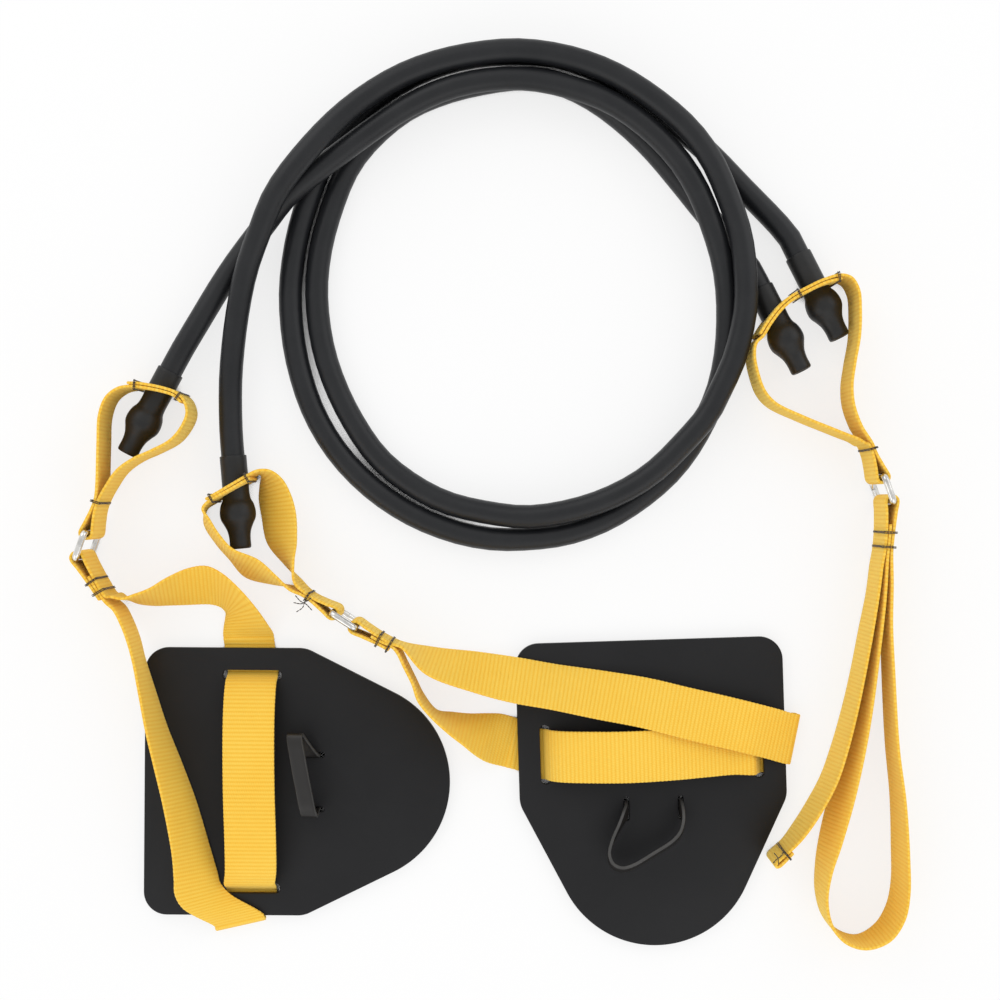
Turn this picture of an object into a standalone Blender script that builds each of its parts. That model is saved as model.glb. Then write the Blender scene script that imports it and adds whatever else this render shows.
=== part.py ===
# Swim training resistance band: two latex tubes, webbing loops, wire rings, hand paddles and an anchor strap.
# Lists are in millimetres and become metres as each mesh is made. +Z is up and the floor is z = 0.
import math

import bmesh
import bpy
from mathutils import Matrix, Vector

MM = 0.001

# Shift that centres the webbing, rings and paddles on the origin
CENTRE_X = -0.24
CENTRE_Y = 0.7

# Fits
SEAT_GAP = 0.3
RUN_GAP = 0.5

# Latex tube and its moulded end sleeves, distances along a sleeve are measured from its cuff
TUBE_D = 11.6
TUBE_STEP = 17.0
TUBE_DEPTH = 20.0
TUBE_REST_GAP = 0.2
SLEEVE_WALL = 0.45
SLEEVE_CUFF_END = 21.0
SLEEVE_BULGE_AT = 28.5
SLEEVE_BULGE_D = 17.8
SLEEVE_NECK_AT = 40.0
SLEEVE_NECK_D = 10.6
SLEEVE_LENGTH = 46.0
SLEEVE_NECK_BORE = 6.6
SLEEVE_HEIGHT = 9.5
PLUG_LENGTH = 16.4
PLUG_TIP_D = 9.0

# Webbing and its folds
WEB_W = 25.4
WEB_T = 1.4
LAYER_GAP = 0.3
FOLD_SLACK = 0.6
LOOP_TACK_BACK = 17.0
STRAP_A_TACK_BACK = 23.0
STRAP_B_TACK_BACK = 19.5
ANCHOR_TACK_BACK = 24.0
THREAD_D = 0.5
THREAD_LIFT = 0.3
SEAM_MARGIN = 3.0

# Wire rings, upright
WIRE_D = 3.2
RING_CORNER = 2.3
RING_WEB_PLAY = 1.6

# Paddles, in plan from the flat back edge (u) and the centre line (v)
PADDLE_T = 3.0
PADDLE_HALF_WIDTH = 66.5
PADDLE_BACK_RADIUS = 11.5
PADDLE_SHOULDER_AT = 79.8
PADDLE_SHOULDER_RADIUS = 14.0
PADDLE_NOSE_CENTRE = 102.3
PADDLE_NOSE_RADIUS = 49.6
PADDLE_EDGE = 0.7
SLOT_SIDE = 53.0
SLOT_LENGTH = 29.4
SLOT_WIDTH = 5.0
FINGER_AT = 83.5
FINGER_SIDE = 13.5
FINGER_SLOT_LENGTH = 12.0

# Finger loops, flat rubber
FINGER_BAND_W = 8.0
FINGER_BAND_T = 1.6
FINGER_PIN_D = 1.1
FINGER_PIN_LENGTH = 8.0

# The bands' runs between their slots: from the slots towards the nose, share of the way from the centre line
# to a slot, height over the paddle, lean of the width in degrees
ARCH_A = [
    (0, -1, 2.6, 0), (0.1, -1.1, 7.5, -2), (-0.1, -1.06, 10.8, -4), (-0.8, -0.8, 13, -6),
    (-2.2, -0.25, 13.9, -8), (-4.2, 0.5, 14.2, -10), (-5.8, 1.15, 14.2, -12), (-7, 1.62, 13.8, -14),
    (-7.4, 1.84, 12.6, -15), (-7, 1.86, 10.6, -15), (-5.2, 1.62, 8.2, -14), (-2.2, 1.25, 5.6, -9),
    (0, 1, 2.6, 0),
]
ARCH_B = [
    (0.4, -1.02, 2.6, 12), (2.5, -1.12, 4.8, 32), (7.5, -1.33, 7, 52), (14, -1.6, 8.8, 62),
    (20.5, -1.74, 9.6, 65), (25.5, -1.62, 10, 65), (27.6, -1.3, 10.2, 65), (26.5, -0.9, 10.2, 65),
    (21, -0.15, 10.2, 65), (15.5, 0.55, 9.9, 63), (11.5, 0.86, 9.2, 58), (7, 1.0, 7.6, 48),
    (3, 1.03, 5.2, 30), (0.6, 1.01, 2.6, 10),
]

# Places in plan
PADDLE_A = {"x": -172.3, "y": -84.9, "turn": -0.4, "slot": 53.2}
PADDLE_B = {"x": 78.3, "y": -14.9, "turn": -88.2, "slot": 55.4}
RING_A = ((-195.2, 39.0), (-199.6, 26.8))
RING_B = ((-76.4, 0.3), (-65.4, -6.8))
RING_C = ((189.3, 66.0), (193.6, 54.0))

# Sleeve ends: hole centre in the webbing, plan direction out to the end, rise in degrees, cuff to hole
END_A_HANDLE = {"hole": (-161.0, 113.05), "aim": (-0.470, -0.883), "rise": 0.0, "cuff": 6.0}
END_B_HANDLE = {"hole": (-126.4, 64.6), "aim": (0.085, -0.996), "rise": 0.0, "cuff": 12.0}
END_A_ANCHOR = {"hole": (158.65, 161.96), "aim": (0.435, -0.900), "rise": 5.0, "cuff": 15.5}
END_B_ANCHOR = {"hole": (139.4, 146.65), "aim": (0.435, -0.900), "rise": 5.0, "cuff": 14.3}

WEB_YELLOW = (0.96, 0.60, 0.055, 1.0)
CHARCOAL = (0.028, 0.030, 0.034, 1.0)
PADDLE_GREY = (0.032, 0.033, 0.037, 1.0)
PLUG_GREY = (0.10, 0.10, 0.11, 1.0)
NICKEL = (0.78, 0.77, 0.74, 1.0)
BAND_BROWN = (0.060, 0.045, 0.035, 1.0)
THREAD_BLACK = (0.020, 0.014, 0.012, 1.0)

FLOOR_GAP = WEB_T + SEAT_GAP + 0.1
PADDLE_TOP = FLOOR_GAP + PADDLE_T
UNDER_Z = WEB_T / 2
OVER_Z = PADDLE_TOP + SEAT_GAP + WEB_T / 2
RING_INNER = WEB_W + RING_WEB_PLAY
RING_Z = RING_INNER / 2 + WIRE_D
RING_FOOT = RING_Z - WEB_W / 2
FOLD_R = WIRE_D / 2 + FOLD_SLACK + WEB_T / 2
LANE = WEB_T + LAYER_GAP
SLEEVE_D = TUBE_D + 4 * SLEEVE_WALL - 0.2
HOLE_D = SLEEVE_D + 0.6
TUBE_Z = TUBE_D / 2 + TUBE_REST_GAP

# Free stretches of the tubes, chosen by hand between their sleeves
ROUTE_A = [
    (-145, 141.5, 9.5), (-128.5, 168.5, 9), (-109.5, 193.5, 10.5), (-101, 203, 15), (-89, 212.5, 18),
    (-73, 224.5, 18.8), (-57.5, 236, 18.5), (-41.5, 246.5, 18.5), (-22, 255.5, 18.5), (-2.5, 260, 18),
    (19, 260.5, 18), (42.5, 255.5, 18), (60, 248.5, 18), (77, 236.5, 18), (91.5, 221.5, 18),
    (101.5, 205.5, 18), (109, 186.5, 17.7), (113.5, 173, 15), (116, 160.5, 12.5), (117, 144, 10),
    (116, 126.5, 8.5), (112.5, 109.5, 6.8), (106, 94, 6), (98, 80, 6), (88.5, 68, 6), (74, 55.5, 6),
    (56, 44.5, 6), (37.5, 38, 6), (19, 35.5, 6), (0, 35.5, 6), (-19.5, 39.5, 6), (-41, 48.5, 6),
    (-60.5, 62, 6), (-76.5, 79, 6), (-88, 98.5, 6), (-95, 119, 6), (-98.5, 138, 6), (-99.5, 159, 6),
    (-97, 180.5, 6), (-92.5, 198.5, 6), (-88, 211, 6), (-82, 226, 6), (-68, 244.5, 6), (-50, 259, 6),
    (-29, 269.5, 6), (-7.5, 275, 6), (14.5, 276.5, 6), (34.5, 274.5, 6), (54.5, 267, 6), (74, 254.5, 6),
    (94, 239, 6), (108.5, 226.5, 6), (123.5, 211, 6),
]
ROUTE_B = [
    (-128.5, 111.5, 10.5), (-127, 129, 12.5), (-124, 148.5, 15), (-119.5, 167, 18.5), (-112.5, 184.5, 23),
    (-104, 203, 27), (-88.5, 223.5, 28), (-69.5, 243.5, 25), (-48.5, 258.5, 22.5), (-31, 266.5, 21),
    (-9.5, 272, 20), (14.5, 274, 19.8), (40, 270, 20), (61.5, 261.5, 21), (82, 248, 21.8),
    (97, 234.5, 22), (107.5, 220, 22), (115.5, 202, 22), (121.5, 183.5, 22), (124, 164, 21.8),
    (124, 147, 21), (118.5, 123, 20.5), (113, 110.5, 19.5), (106, 96.5, 18.5), (95, 83.5, 18),
    (81, 69.5, 17), (66, 59.5, 15.5), (45, 51, 13.5), (19, 46.5, 12), (-1.5, 48.5, 9.5), (-22, 53.5, 7.5),
    (-39.5, 62.5, 6.5), (-56, 76, 6), (-70, 96.5, 6), (-79.5, 117.5, 6), (-84.5, 136.5, 6),
    (-86.5, 159, 6), (-84.5, 179, 6), (-79, 199.5, 6), (-71, 219, 6), (-60.5, 233, 6), (-42.7, 248, 6),
    (-24, 256.5, 6), (-4.5, 261.5, 6), (15.5, 264, 6), (32, 262, 6), (49, 254.5, 6), (64.5, 243.5, 6),
    (79.5, 229.5, 6), (94, 212.5, 6), (104, 200, 6), (111.5, 191, 6),
]


def material(name, colour, roughness, metallic=0.0):
    made = bpy.data.materials.get(name)
    if made is None:
        made = bpy.data.materials.new(name)
        made.use_nodes = True
        shader = made.node_tree.nodes["Principled BSDF"]
        shader.inputs["Base Color"].default_value = colour
        shader.inputs["Roughness"].default_value = roughness
        shader.inputs["Metallic"].default_value = metallic
        made.diffuse_color = colour
    return made


def webbing():
    return material("yellow webbing", WEB_YELLOW, 0.75)


def thread():
    return material("black thread", THREAD_BLACK, 0.8)


def to_metres(point):
    return Vector(((point[0] + CENTRE_X) * MM, (point[1] + CENTRE_Y) * MM, point[2] * MM))


def add_object(name, data, finish):
    made = bpy.data.objects.new(name, data)
    made.data.materials.append(finish)
    bpy.context.scene.collection.objects.link(made)
    return made


def add_mesh(name, points, faces, finish):
    mesh = bpy.data.meshes.new(name)
    mesh.from_pydata([to_metres(point) for point in points], [], faces)
    edit = bmesh.new()
    edit.from_mesh(mesh)
    bmesh.ops.recalc_face_normals(edit, faces=edit.faces)
    edit.to_mesh(mesh)
    edit.free()
    return add_object(name, mesh, finish)


# Smooth curve through points of any number of values; the first three are the place


def blend(p0, p1, p2, p3, share):
    def knot(a, b):
        return max(math.dist(a[:3], b[:3]), 0.001) ** 0.5

    t1 = knot(p0, p1)
    t2 = t1 + knot(p1, p2)
    t3 = t2 + knot(p2, p3)
    t = t1 + (t2 - t1) * share
    made = []
    for a, b, c, d in zip(p0, p1, p2, p3):
        ab = a + (b - a) * t / t1
        bc = b + (c - b) * (t - t1) / (t2 - t1)
        cd = c + (d - c) * (t - t2) / (t3 - t2)
        abc = ab + (bc - ab) * t / t2
        bcd = bc + (cd - bc) * (t - t1) / (t3 - t1)
        made.append(abc + (bcd - abc) * (t - t1) / (t2 - t1))
    return made


def smooth(points, step=0.5):
    first = [2 * a - b for a, b in zip(points[0], points[1])]
    last = [2 * a - b for a, b in zip(points[-1], points[-2])]
    padded = [first] + [list(point) for point in points] + [last]
    curve = []
    for p0, p1, p2, p3 in zip(padded, padded[1:], padded[2:], padded[3:]):
        count = max(2, round(math.dist(p1[:3], p2[:3]) / step))
        for i in range(count):
            curve.append(blend(p0, p1, p2, p3, i / count))
    curve.append(padded[-2])
    return curve


# Turned pieces


def end_axis(end):
    plan = Vector((end["aim"][0], end["aim"][1], 0.0)).normalized()
    rise = math.radians(end["rise"])
    aim = plan * math.cos(rise) + Vector((0.0, 0.0, math.sin(rise)))
    hole = Vector((end["hole"][0], end["hole"][1], SLEEVE_HEIGHT))
    return hole - aim * end["cuff"], aim


def turned(name, profile, start, aim, finish, sides=20):
    side = aim.orthogonal().normalized()
    other = aim.cross(side)
    points = []
    for k in range(sides):
        angle = 2 * math.pi * k / sides
        out = side * math.cos(angle) + other * math.sin(angle)
        points.extend(start + aim * along + out * radius for along, radius in profile)
    count = len(profile)
    faces = []
    for k in range(sides):
        base = k * count
        ahead = (k + 1) % sides * count
        for i in range(count):
            j = (i + 1) % count
            faces.append((base + i, base + j, ahead + j, ahead + i))
    return add_mesh(name, points, faces, finish)


def sleeve(name, end):
    start, aim = end_axis(end)
    bore = TUBE_D / 2 + SLEEVE_WALL
    bulge = SLEEVE_BULGE_D / 2
    neck = SLEEVE_NECK_D / 2
    tube_end = TUBE_DEPTH
    plug_end = TUBE_DEPTH + SEAT_GAP + PLUG_LENGTH
    profile = [
        (0, bore), (0, SLEEVE_D / 2 - 0.2), (0.5, SLEEVE_D / 2), (SLEEVE_CUFF_END, SLEEVE_D / 2),
        (SLEEVE_CUFF_END + 1.5, bulge - 1.5), (SLEEVE_BULGE_AT - 3.2, bulge - 0.45), (SLEEVE_BULGE_AT, bulge),
        (SLEEVE_BULGE_AT + 2.7, bulge - 0.3), (SLEEVE_BULGE_AT + 5.6, (bulge + neck) / 2),
        (SLEEVE_NECK_AT - 3, neck + 0.6), (SLEEVE_NECK_AT, neck), (SLEEVE_LENGTH - 0.6, neck),
        (SLEEVE_LENGTH, neck - 0.6), (SLEEVE_LENGTH, SLEEVE_NECK_BORE / 2),
        (plug_end + 1, SLEEVE_NECK_BORE / 2), (plug_end + 0.4, PLUG_TIP_D / 2 + SEAT_GAP),
        (SLEEVE_BULGE_AT, bulge - 1.5), (tube_end, bore),
    ]
    return turned(name, profile, start, aim, material("sleeve rubber", CHARCOAL, 0.45))


def plug(name, end):
    start, aim = end_axis(end)
    near = TUBE_DEPTH + SEAT_GAP
    far = near + PLUG_LENGTH
    core = 1.2
    profile = [
        (near, core), (near, TUBE_D / 2 + SLEEVE_WALL - SEAT_GAP),
        (SLEEVE_BULGE_AT, SLEEVE_BULGE_D / 2 - 1.8), (far, PLUG_TIP_D / 2), (far, core),
    ]
    return turned(name, profile, start, aim, material("plug plastic", PLUG_GREY, 0.4), sides=16)


def tube_curve(route, near, far):
    start, aim = end_axis(near)
    stop, away = end_axis(far)
    runs = [tuple(start + aim * along) for along in (TUBE_DEPTH, 10, 0, -10)]
    runs += list(route)
    runs += [tuple(stop + away * along) for along in (-10, 0, 10, TUBE_DEPTH)]
    return smooth(runs)


def thin_out(curve, step):
    kept = [curve[0]]
    for point in curve[1:-1]:
        if math.dist(point, kept[-1]) >= step and math.dist(point, curve[-1]) > step / 2:
            kept.append(point)
    kept.append(curve[-1])
    return kept


def tube(name, curve):
    kept = thin_out(curve, TUBE_STEP)
    data = bpy.data.curves.new(name, "CURVE")
    data.dimensions = "3D"
    data.bevel_depth = TUBE_D / 2 * MM
    data.bevel_resolution = 2
    data.use_fill_caps = True
    spline = data.splines.new("POLY")
    spline.points.add(len(kept) - 1)
    for slot, point in zip(spline.points, kept):
        slot.co = (*to_metres(point), 1.0)
    add_object(name, data, material("latex tube", CHARCOAL, 0.32))
    return kept


# Webbing: a station holds its place in plan, the height of its lowest edge and the direction across it


def station(x, y, foot, tip_x=0.0, tip_y=0.0, flip=1):
    lean = min(1.0, math.hypot(tip_x, tip_y))
    up = math.sqrt(1.0 - lean * lean)
    return (x, y, foot, flip * tip_x, flip * tip_y, flip * up)


def flat(x, y, height, across, thickness=WEB_T):
    return (x, y, height - thickness / 2, across[0], across[1], 0.0)


def raised(point, width, thickness):
    """Centre and direction across the width, from a station's values."""
    across = Vector(point[3:6]).normalized()
    height = max(0.0, point[2]) + width / 2 * abs(across.z) + thickness / 2 * across.xy.length
    return Vector((point[0], point[1], height)), across


def ring_fold(bar, aim, turn, layers, back):
    """Stations from one pinched leg, round a ring bar and back to the other leg."""
    length = math.hypot(*aim)
    ahead = (aim[0] / length, aim[1] / length)
    left = (-ahead[1], ahead[0])
    half = LANE * (layers - 1) / 2

    def place(along, across, foot):
        return station(bar[0] + ahead[0] * along + left[0] * across,
                       bar[1] + ahead[1] * along + left[1] * across, foot)

    first = -turn
    legs = []
    for side in (first, -first):
        legs.append([
            place(-back, side * half, RING_FOOT * 0.6),
            place(-back / 2 - 3, side * half, RING_FOOT * 0.9),
            place(-5.0, side * (half + FOLD_R) / 2, RING_FOOT),
        ])
    arc = []
    for degrees in (-75, -40, 0, 40, 75):
        angle = math.radians(degrees) * -first
        arc.append(place(FOLD_R * math.cos(angle), FOLD_R * math.sin(angle), RING_FOOT))
    return legs[0] + arc + legs[1][::-1]


def frames(stations, width, thickness):
    """Centre, run, width and face directions along the webbing."""
    curve = [raised(point, width, thickness) for point in smooth(stations)]
    sampled = []
    for before, here, after in zip(curve[:1] + curve, curve, curve[1:] + curve[-1:]):
        run = (after[0] - before[0]).normalized()
        sampled.append((here[0], run, here[1], run.cross(here[1]).normalized()))
    return sampled


def thin_frames(sampled):
    """Frames closer together where the webbing turns."""
    kept = [sampled[0]]
    for frame in sampled[1:-1]:
        centre, run, across, _ = kept[-1]
        far = (frame[0] - centre).length
        turned_by = math.degrees(frame[1].angle(run)) + math.degrees(frame[2].angle(across))
        if far > 7.0 or (far > 0.7 and turned_by > 12.0):
            kept.append(frame)
    kept.append(sampled[-1])
    return kept


def ribbon(name, stations, finish, width=WEB_W, thickness=WEB_T):
    sampled = frames(stations, width, thickness)
    made = thin_frames(sampled)
    points = []
    for centre, _, across, face in made:
        side = across * width / 2
        out = face * thickness / 2
        points += [centre - side - out, centre + side - out, centre + side + out, centre - side + out]
    faces = [(0, 1, 2, 3)]
    for base in range(0, 4 * (len(made) - 1), 4):
        for i, j in ((0, 1), (1, 2), (3, 2), (0, 3)):
            faces.append((base + i, base + 4 + i, base + 4 + j))
            faces.append((base + i, base + 4 + j, base + j))
    last = 4 * (len(made) - 1)
    faces.append((last + 3, last + 2, last + 1, last))
    add_mesh(name, points, faces, finish)
    return sampled


def cut(target, cutter):
    cutter.hide_render = True
    cutter.display_type = "WIRE"
    modifier = target.modifiers.new("cut", "BOOLEAN")
    modifier.operation = "DIFFERENCE"
    modifier.solver = "EXACT"
    modifier.object = cutter
    bpy.context.view_layer.objects.active = target
    bpy.context.view_layer.update()
    shape = bpy.data.meshes.new_from_object(target.evaluated_get(bpy.context.evaluated_depsgraph_get()))
    target.modifiers.clear()
    target.data = shape
    bpy.data.objects.remove(cutter)


def hole_cutter(end, radius, reach):
    start, aim = end_axis(end)
    middle = start + aim * end["cuff"]
    side = aim.orthogonal().normalized()
    other = aim.cross(side)
    sides = 24
    points = []
    for along in (-reach, reach):
        for k in range(sides):
            angle = 2 * math.pi * k / sides
            points.append(middle + aim * along + (side * math.cos(angle) + other * math.sin(angle)) * radius)
    faces = [tuple(range(sides)), tuple(range(2 * sides - 1, sides - 1, -1))]
    for k in range(sides):
        j = (k + 1) % sides
        faces.append((k, k + sides, j + sides, j))
    return add_mesh("cutter", points, faces, thread())


def webbing_loop(name, stations, ends):
    made = ribbon(name, stations, webbing())
    for end in ends:
        cut(bpy.data.objects[name], hole_cutter(end, HOLE_D / 2, 9.0))
    return made


# A seam's thread goes down one face of the webbing, over its edge and down the other face


def nearest_frame(made, place):
    return min(made, key=lambda frame: (frame[0].xy - Vector(place)).length)


def seam(name, made, place, layers):
    centre, run, across, face = nearest_frame(made, place)
    inner = (WEB_T / 2 + THREAD_LIFT, WEB_T / 2 + LANE * layers + THREAD_LIFT)
    outer = (inner[0] + THREAD_D, inner[1] + THREAD_D)
    low = SEAM_MARGIN - WEB_W / 2
    high = WEB_W / 2 + THREAD_LIFT
    section = [(-outer[0], low), (-outer[0], high + THREAD_D), (outer[1], high + THREAD_D), (outer[1], low),
               (inner[1], low), (inner[1], high), (-inner[0], high), (-inner[0], low)]
    count = len(section)
    points = []
    for side in (-1, 1):
        for out, up in section:
            points.append(centre + run * side * THREAD_D / 2 + face * out + across * up)
    faces = [tuple(range(count)), tuple(range(2 * count - 1, count - 1, -1))]
    for i in range(count):
        j = (i + 1) % count
        faces.append((i, j, j + count, i + count))
    add_mesh(name, points, faces, thread())


# Wire rings


def wire_ring(name, bars):
    (x1, y1), (x2, y2) = bars
    span = math.hypot(x2 - x1, y2 - y1)
    ahead = ((x2 - x1) / span, (y2 - y1) / span)
    half_height = (RING_INNER + WIRE_D) / 2
    corners = ((0, -half_height), (span, -half_height), (span, half_height), (0, half_height))
    data = bpy.data.curves.new(name, "CURVE")
    data.dimensions = "3D"
    data.bevel_depth = WIRE_D / 2 * MM
    data.bevel_resolution = 2
    path = []
    for i, (along, up) in enumerate(corners):
        centre_along = along + (RING_CORNER if along == 0 else -RING_CORNER)
        centre_up = up + (RING_CORNER if up < 0 else -RING_CORNER)
        for degrees in (0, 30, 60, 90):
            angle = math.radians(180 + 90 * i + degrees)
            path.append((centre_along + RING_CORNER * math.cos(angle),
                         centre_up + RING_CORNER * math.sin(angle)))
    spline = data.splines.new("POLY")
    spline.points.add(len(path) - 1)
    spline.use_cyclic_u = True
    for slot, (along, up) in zip(spline.points, path):
        slot.co = (*to_metres((x1 + ahead[0] * along, y1 + ahead[1] * along, RING_Z + up)), 1.0)
    add_object(name, data, material("nickel wire", NICKEL, 0.18, 1.0))


# Paddles


def paddle_matrix(place):
    turn = Matrix.Rotation(math.radians(place["turn"]), 4, "Z")
    return Matrix.Translation((place["x"], place["y"], 0.0)) @ turn


def rounded(corner, before, after, radius, count=5):
    """Arc points that round a corner between two neighbours."""
    here = Vector(corner)
    back = (Vector(before) - here).normalized()
    ahead = (Vector(after) - here).normalized()
    half = back.angle(ahead) / 2
    centre = here + (back + ahead).normalized() * radius / math.sin(half)
    start = (here + back * radius / math.tan(half) - centre).normalized()
    stop = (here + ahead * radius / math.tan(half) - centre).normalized()
    return [tuple(centre + start.slerp(stop, i / count) * radius) for i in range(count + 1)]


def paddle_outline():
    shoulder = (PADDLE_SHOULDER_AT, PADDLE_HALF_WIDTH)
    nose = (PADDLE_NOSE_CENTRE, 0.0)
    reach = math.dist(shoulder, nose)
    toward = math.atan2(shoulder[1] - nose[1], shoulder[0] - nose[0])
    tangent = toward - math.acos(PADDLE_NOSE_RADIUS / reach)
    touch = (nose[0] + PADDLE_NOSE_RADIUS * math.cos(tangent), PADDLE_NOSE_RADIUS * math.sin(tangent))
    back = (0.0, PADDLE_HALF_WIDTH)
    half = rounded(back, (0.0, 0.0), shoulder, PADDLE_BACK_RADIUS)
    half += rounded(shoulder, back, touch, PADDLE_SHOULDER_RADIUS)
    count = 9
    half += [(nose[0] + PADDLE_NOSE_RADIUS * math.cos(tangent * (1 - i / count)),
              PADDLE_NOSE_RADIUS * math.sin(tangent * (1 - i / count))) for i in range(count + 1)]
    return half + [(u, -v) for u, v in reversed(half[:-1])]


def slab(name, outline, low, high, edge, finish, matrix):
    """Plate with its outline drawn in by a small chamfer at both faces."""
    count = len(outline)
    points = []
    for height, inset in ((low, edge), (low + edge, 0.0), (high - edge, 0.0), (high, edge)):
        for i in range(count):
            before = Vector(outline[i - 1])
            here = Vector(outline[i])
            after = Vector(outline[(i + 1) % count])
            along = (after - before).normalized()
            inward = here + Vector((along.y, -along.x)) * inset
            points.append(matrix @ Vector((inward.x, inward.y, height)))
    faces = [tuple(range(count)), tuple(range(4 * count - 1, 3 * count - 1, -1))]
    for level in range(3):
        base = level * count
        for i in range(count):
            j = (i + 1) % count
            faces.append((base + i, base + j, base + count + j, base + count + i))
    return add_mesh(name, points, faces, finish)


def slot_outline(u, v, length, width, count=4):
    outline = []
    radius = width / 2 - 0.01
    half = length / 2 - radius
    for centre, start in ((u + half, -90), (u - half, 90)):
        for i in range(count + 1):
            angle = math.radians(start + 180 * i / count)
            outline.append((centre + radius * math.cos(angle), v + radius * math.sin(angle)))
    return outline[::-1]


def paddle(name, place):
    matrix = paddle_matrix(place)
    slab(name, paddle_outline(), FLOOR_GAP, PADDLE_TOP, PADDLE_EDGE,
         material("paddle plastic", PADDLE_GREY, 0.5), matrix)
    finger_width = FINGER_BAND_T + 2 * RUN_GAP
    for side in (-1, 1):
        for u, v, length, width in ((place["slot"], SLOT_SIDE * side, SLOT_LENGTH, SLOT_WIDTH),
                                    (FINGER_AT, FINGER_SIDE * side, FINGER_SLOT_LENGTH, finger_width)):
            cutter = slab("cutter", slot_outline(u, v, length, width), FLOOR_GAP - 2, PADDLE_TOP + 2, 0.0,
                          thread(), matrix)
            cut(bpy.data.objects[name], cutter)


def finger_loop(name, place, arch):
    """Flat band from one slot up, across and down into the other."""
    matrix = paddle_matrix(place)
    base = finger_pin_z() + FINGER_PIN_D / 2 + SEAT_GAP - PADDLE_TOP
    run = [(0, -1, base, 0), (0, -1, 0, 0)] + arch + [(0, 1, 0, 0), (0, 1, base, 0)]
    stations = []
    for along, share, height, lean in run:
        tilt = math.radians(lean)
        across = matrix.to_3x3() @ Vector((math.cos(tilt), 0.0, -math.sin(tilt)))
        spot = matrix @ Vector((FINGER_AT + along, FINGER_SIDE * share, PADDLE_TOP + height))
        foot = spot.z - FINGER_BAND_W / 2 * abs(across.z) - FINGER_BAND_T / 2 * across.xy.length
        stations.append((spot.x, spot.y, foot, *across))
    ribbon(name, stations, material("finger band rubber", BAND_BROWN, 0.35), FINGER_BAND_W, FINGER_BAND_T)


def finger_pin_z():
    return FLOOR_GAP - SEAT_GAP - FINGER_PIN_D / 2


def finger_pin(name, place, side):
    """Cross pin on one end of the band, under the paddle, and the line that the band turns about."""
    matrix = paddle_matrix(place)
    start = matrix @ Vector((FINGER_AT, FINGER_SIDE * side - FINGER_PIN_LENGTH / 2, finger_pin_z()))
    aim = matrix.to_3x3() @ Vector((0.0, 1.0, 0.0))
    radius = FINGER_PIN_D / 2
    core = 0.12
    profile = [(0, core), (0, radius), (FINGER_PIN_LENGTH, radius), (FINGER_PIN_LENGTH, core)]
    turned(name, profile, start, aim, material("finger band rubber", BAND_BROWN, 0.35), sides=10)


def strap_place(place, u, v, height):
    """Station on a hand strap, across its width along the paddle's u direction."""
    matrix = paddle_matrix(place)
    spot = matrix @ Vector((u, v, height))
    across = matrix.to_3x3() @ Vector((1.0, 0.0, 0.0))
    return flat(spot.x, spot.y, height, across)


def hand_strap(place, arch):
    """Stations up through one slot, over the hand and down through the other. The arch gives
    the place from the centre line, the height over the paddle and the shift towards the nose."""
    u = place["slot"]
    steps = [(3.7, UNDER_Z), (1.9, UNDER_Z + 0.15), (0.5, FLOOR_GAP - 0.1), (-0.6, FLOOR_GAP + 1.5),
             (-1.5, PADDLE_TOP + 0.6), (-3.4, PADDLE_TOP + 3.8)]
    rise = [strap_place(place, u, SLOT_SIDE + past, height) for past, height in steps]
    over = [strap_place(place, u + shift, v, PADDLE_TOP + height) for v, height, shift in arch]
    fall = [strap_place(place, u, -SLOT_SIDE - past, height) for past, height in reversed(steps)]
    return rise + over + fall


def edge_fold(x, y, out, hand, rising):
    """Stations round a paddle's edge at a plan place, across its width square to the way out.
    hand is 1 where the width points left of the way out and -1 where it points right."""
    middle = (UNDER_Z + OVER_Z) / 2
    radius = (OVER_Z - UNDER_Z) / 2
    across = (-out[1] * hand, out[0] * hand)
    made = []
    for degrees in (-90, -45, 0, 45, 90):
        angle = math.radians(degrees)
        reach = radius * math.cos(angle)
        made.append(flat(x + out[0] * reach, y + out[1] * reach, middle + radius * math.sin(angle), across))
    return made if rising else made[::-1]


def lane_end(bar, aim, back):
    """Stations of a free end sewn between the two legs of a ring fold."""
    length = math.hypot(*aim)
    ahead = (aim[0] / length, aim[1] / length)
    return [station(bar[0] + ahead[0] * along, bar[1] + ahead[1] * along, RING_FOOT * share)
            for along, share in ((-back - 2, 0.5), (-back / 2 - 3, 0.9), (-back / 2 + 1, 0.95))]


# Webbing runs, in the order in which the webbing was threaded


def beside(stations, distance):
    """The same stations moved to the right of their run, for a second layer."""
    moved = []
    for before, here, after in zip(stations[:1] + stations, stations, stations[1:] + stations[-1:]):
        run = Vector(after[:2]) - Vector(before[:2])
        run.normalize()
        moved.append((here[0] + run.y * distance, here[1] - run.x * distance, *here[2:]))
    return moved


def teardrop(top, down, bar, aim, up):
    """Doubled top, one leg down to a ring bar, round it and the other leg back up."""
    over = [station(x, y, 0.0, *tip) for x, y, *tip in top]
    first = [station(x, y, 0.0, *tip) for x, y, *tip in down]
    second = [station(x, y, 0.0, *tip) for x, y, *tip in up]
    return over + first + ring_fold(bar, aim, -1, 2, LOOP_TACK_BACK) + second + beside(over, LANE)


def handle_loop_a():
    top = [(-176.3, 111.6), (-170, 111.3), (-158, 108.9), (-152.8, 106.9), (-149, 103.4)]
    down = [(-147.3, 97), (-150.3, 89.5), (-155.5, 83.6), (-164.7, 78.6), (-173.7, 74.5),
            (-181, 69.2), (-186, 62.3)]
    up = [(-190.8, 66), (-190.4, 82.5), (-189.7, 96), (-186.6, 104.3), (-181.5, 108.6)]
    return teardrop(top, down, RING_A[0], (-0.29, -0.957), up)


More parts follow.
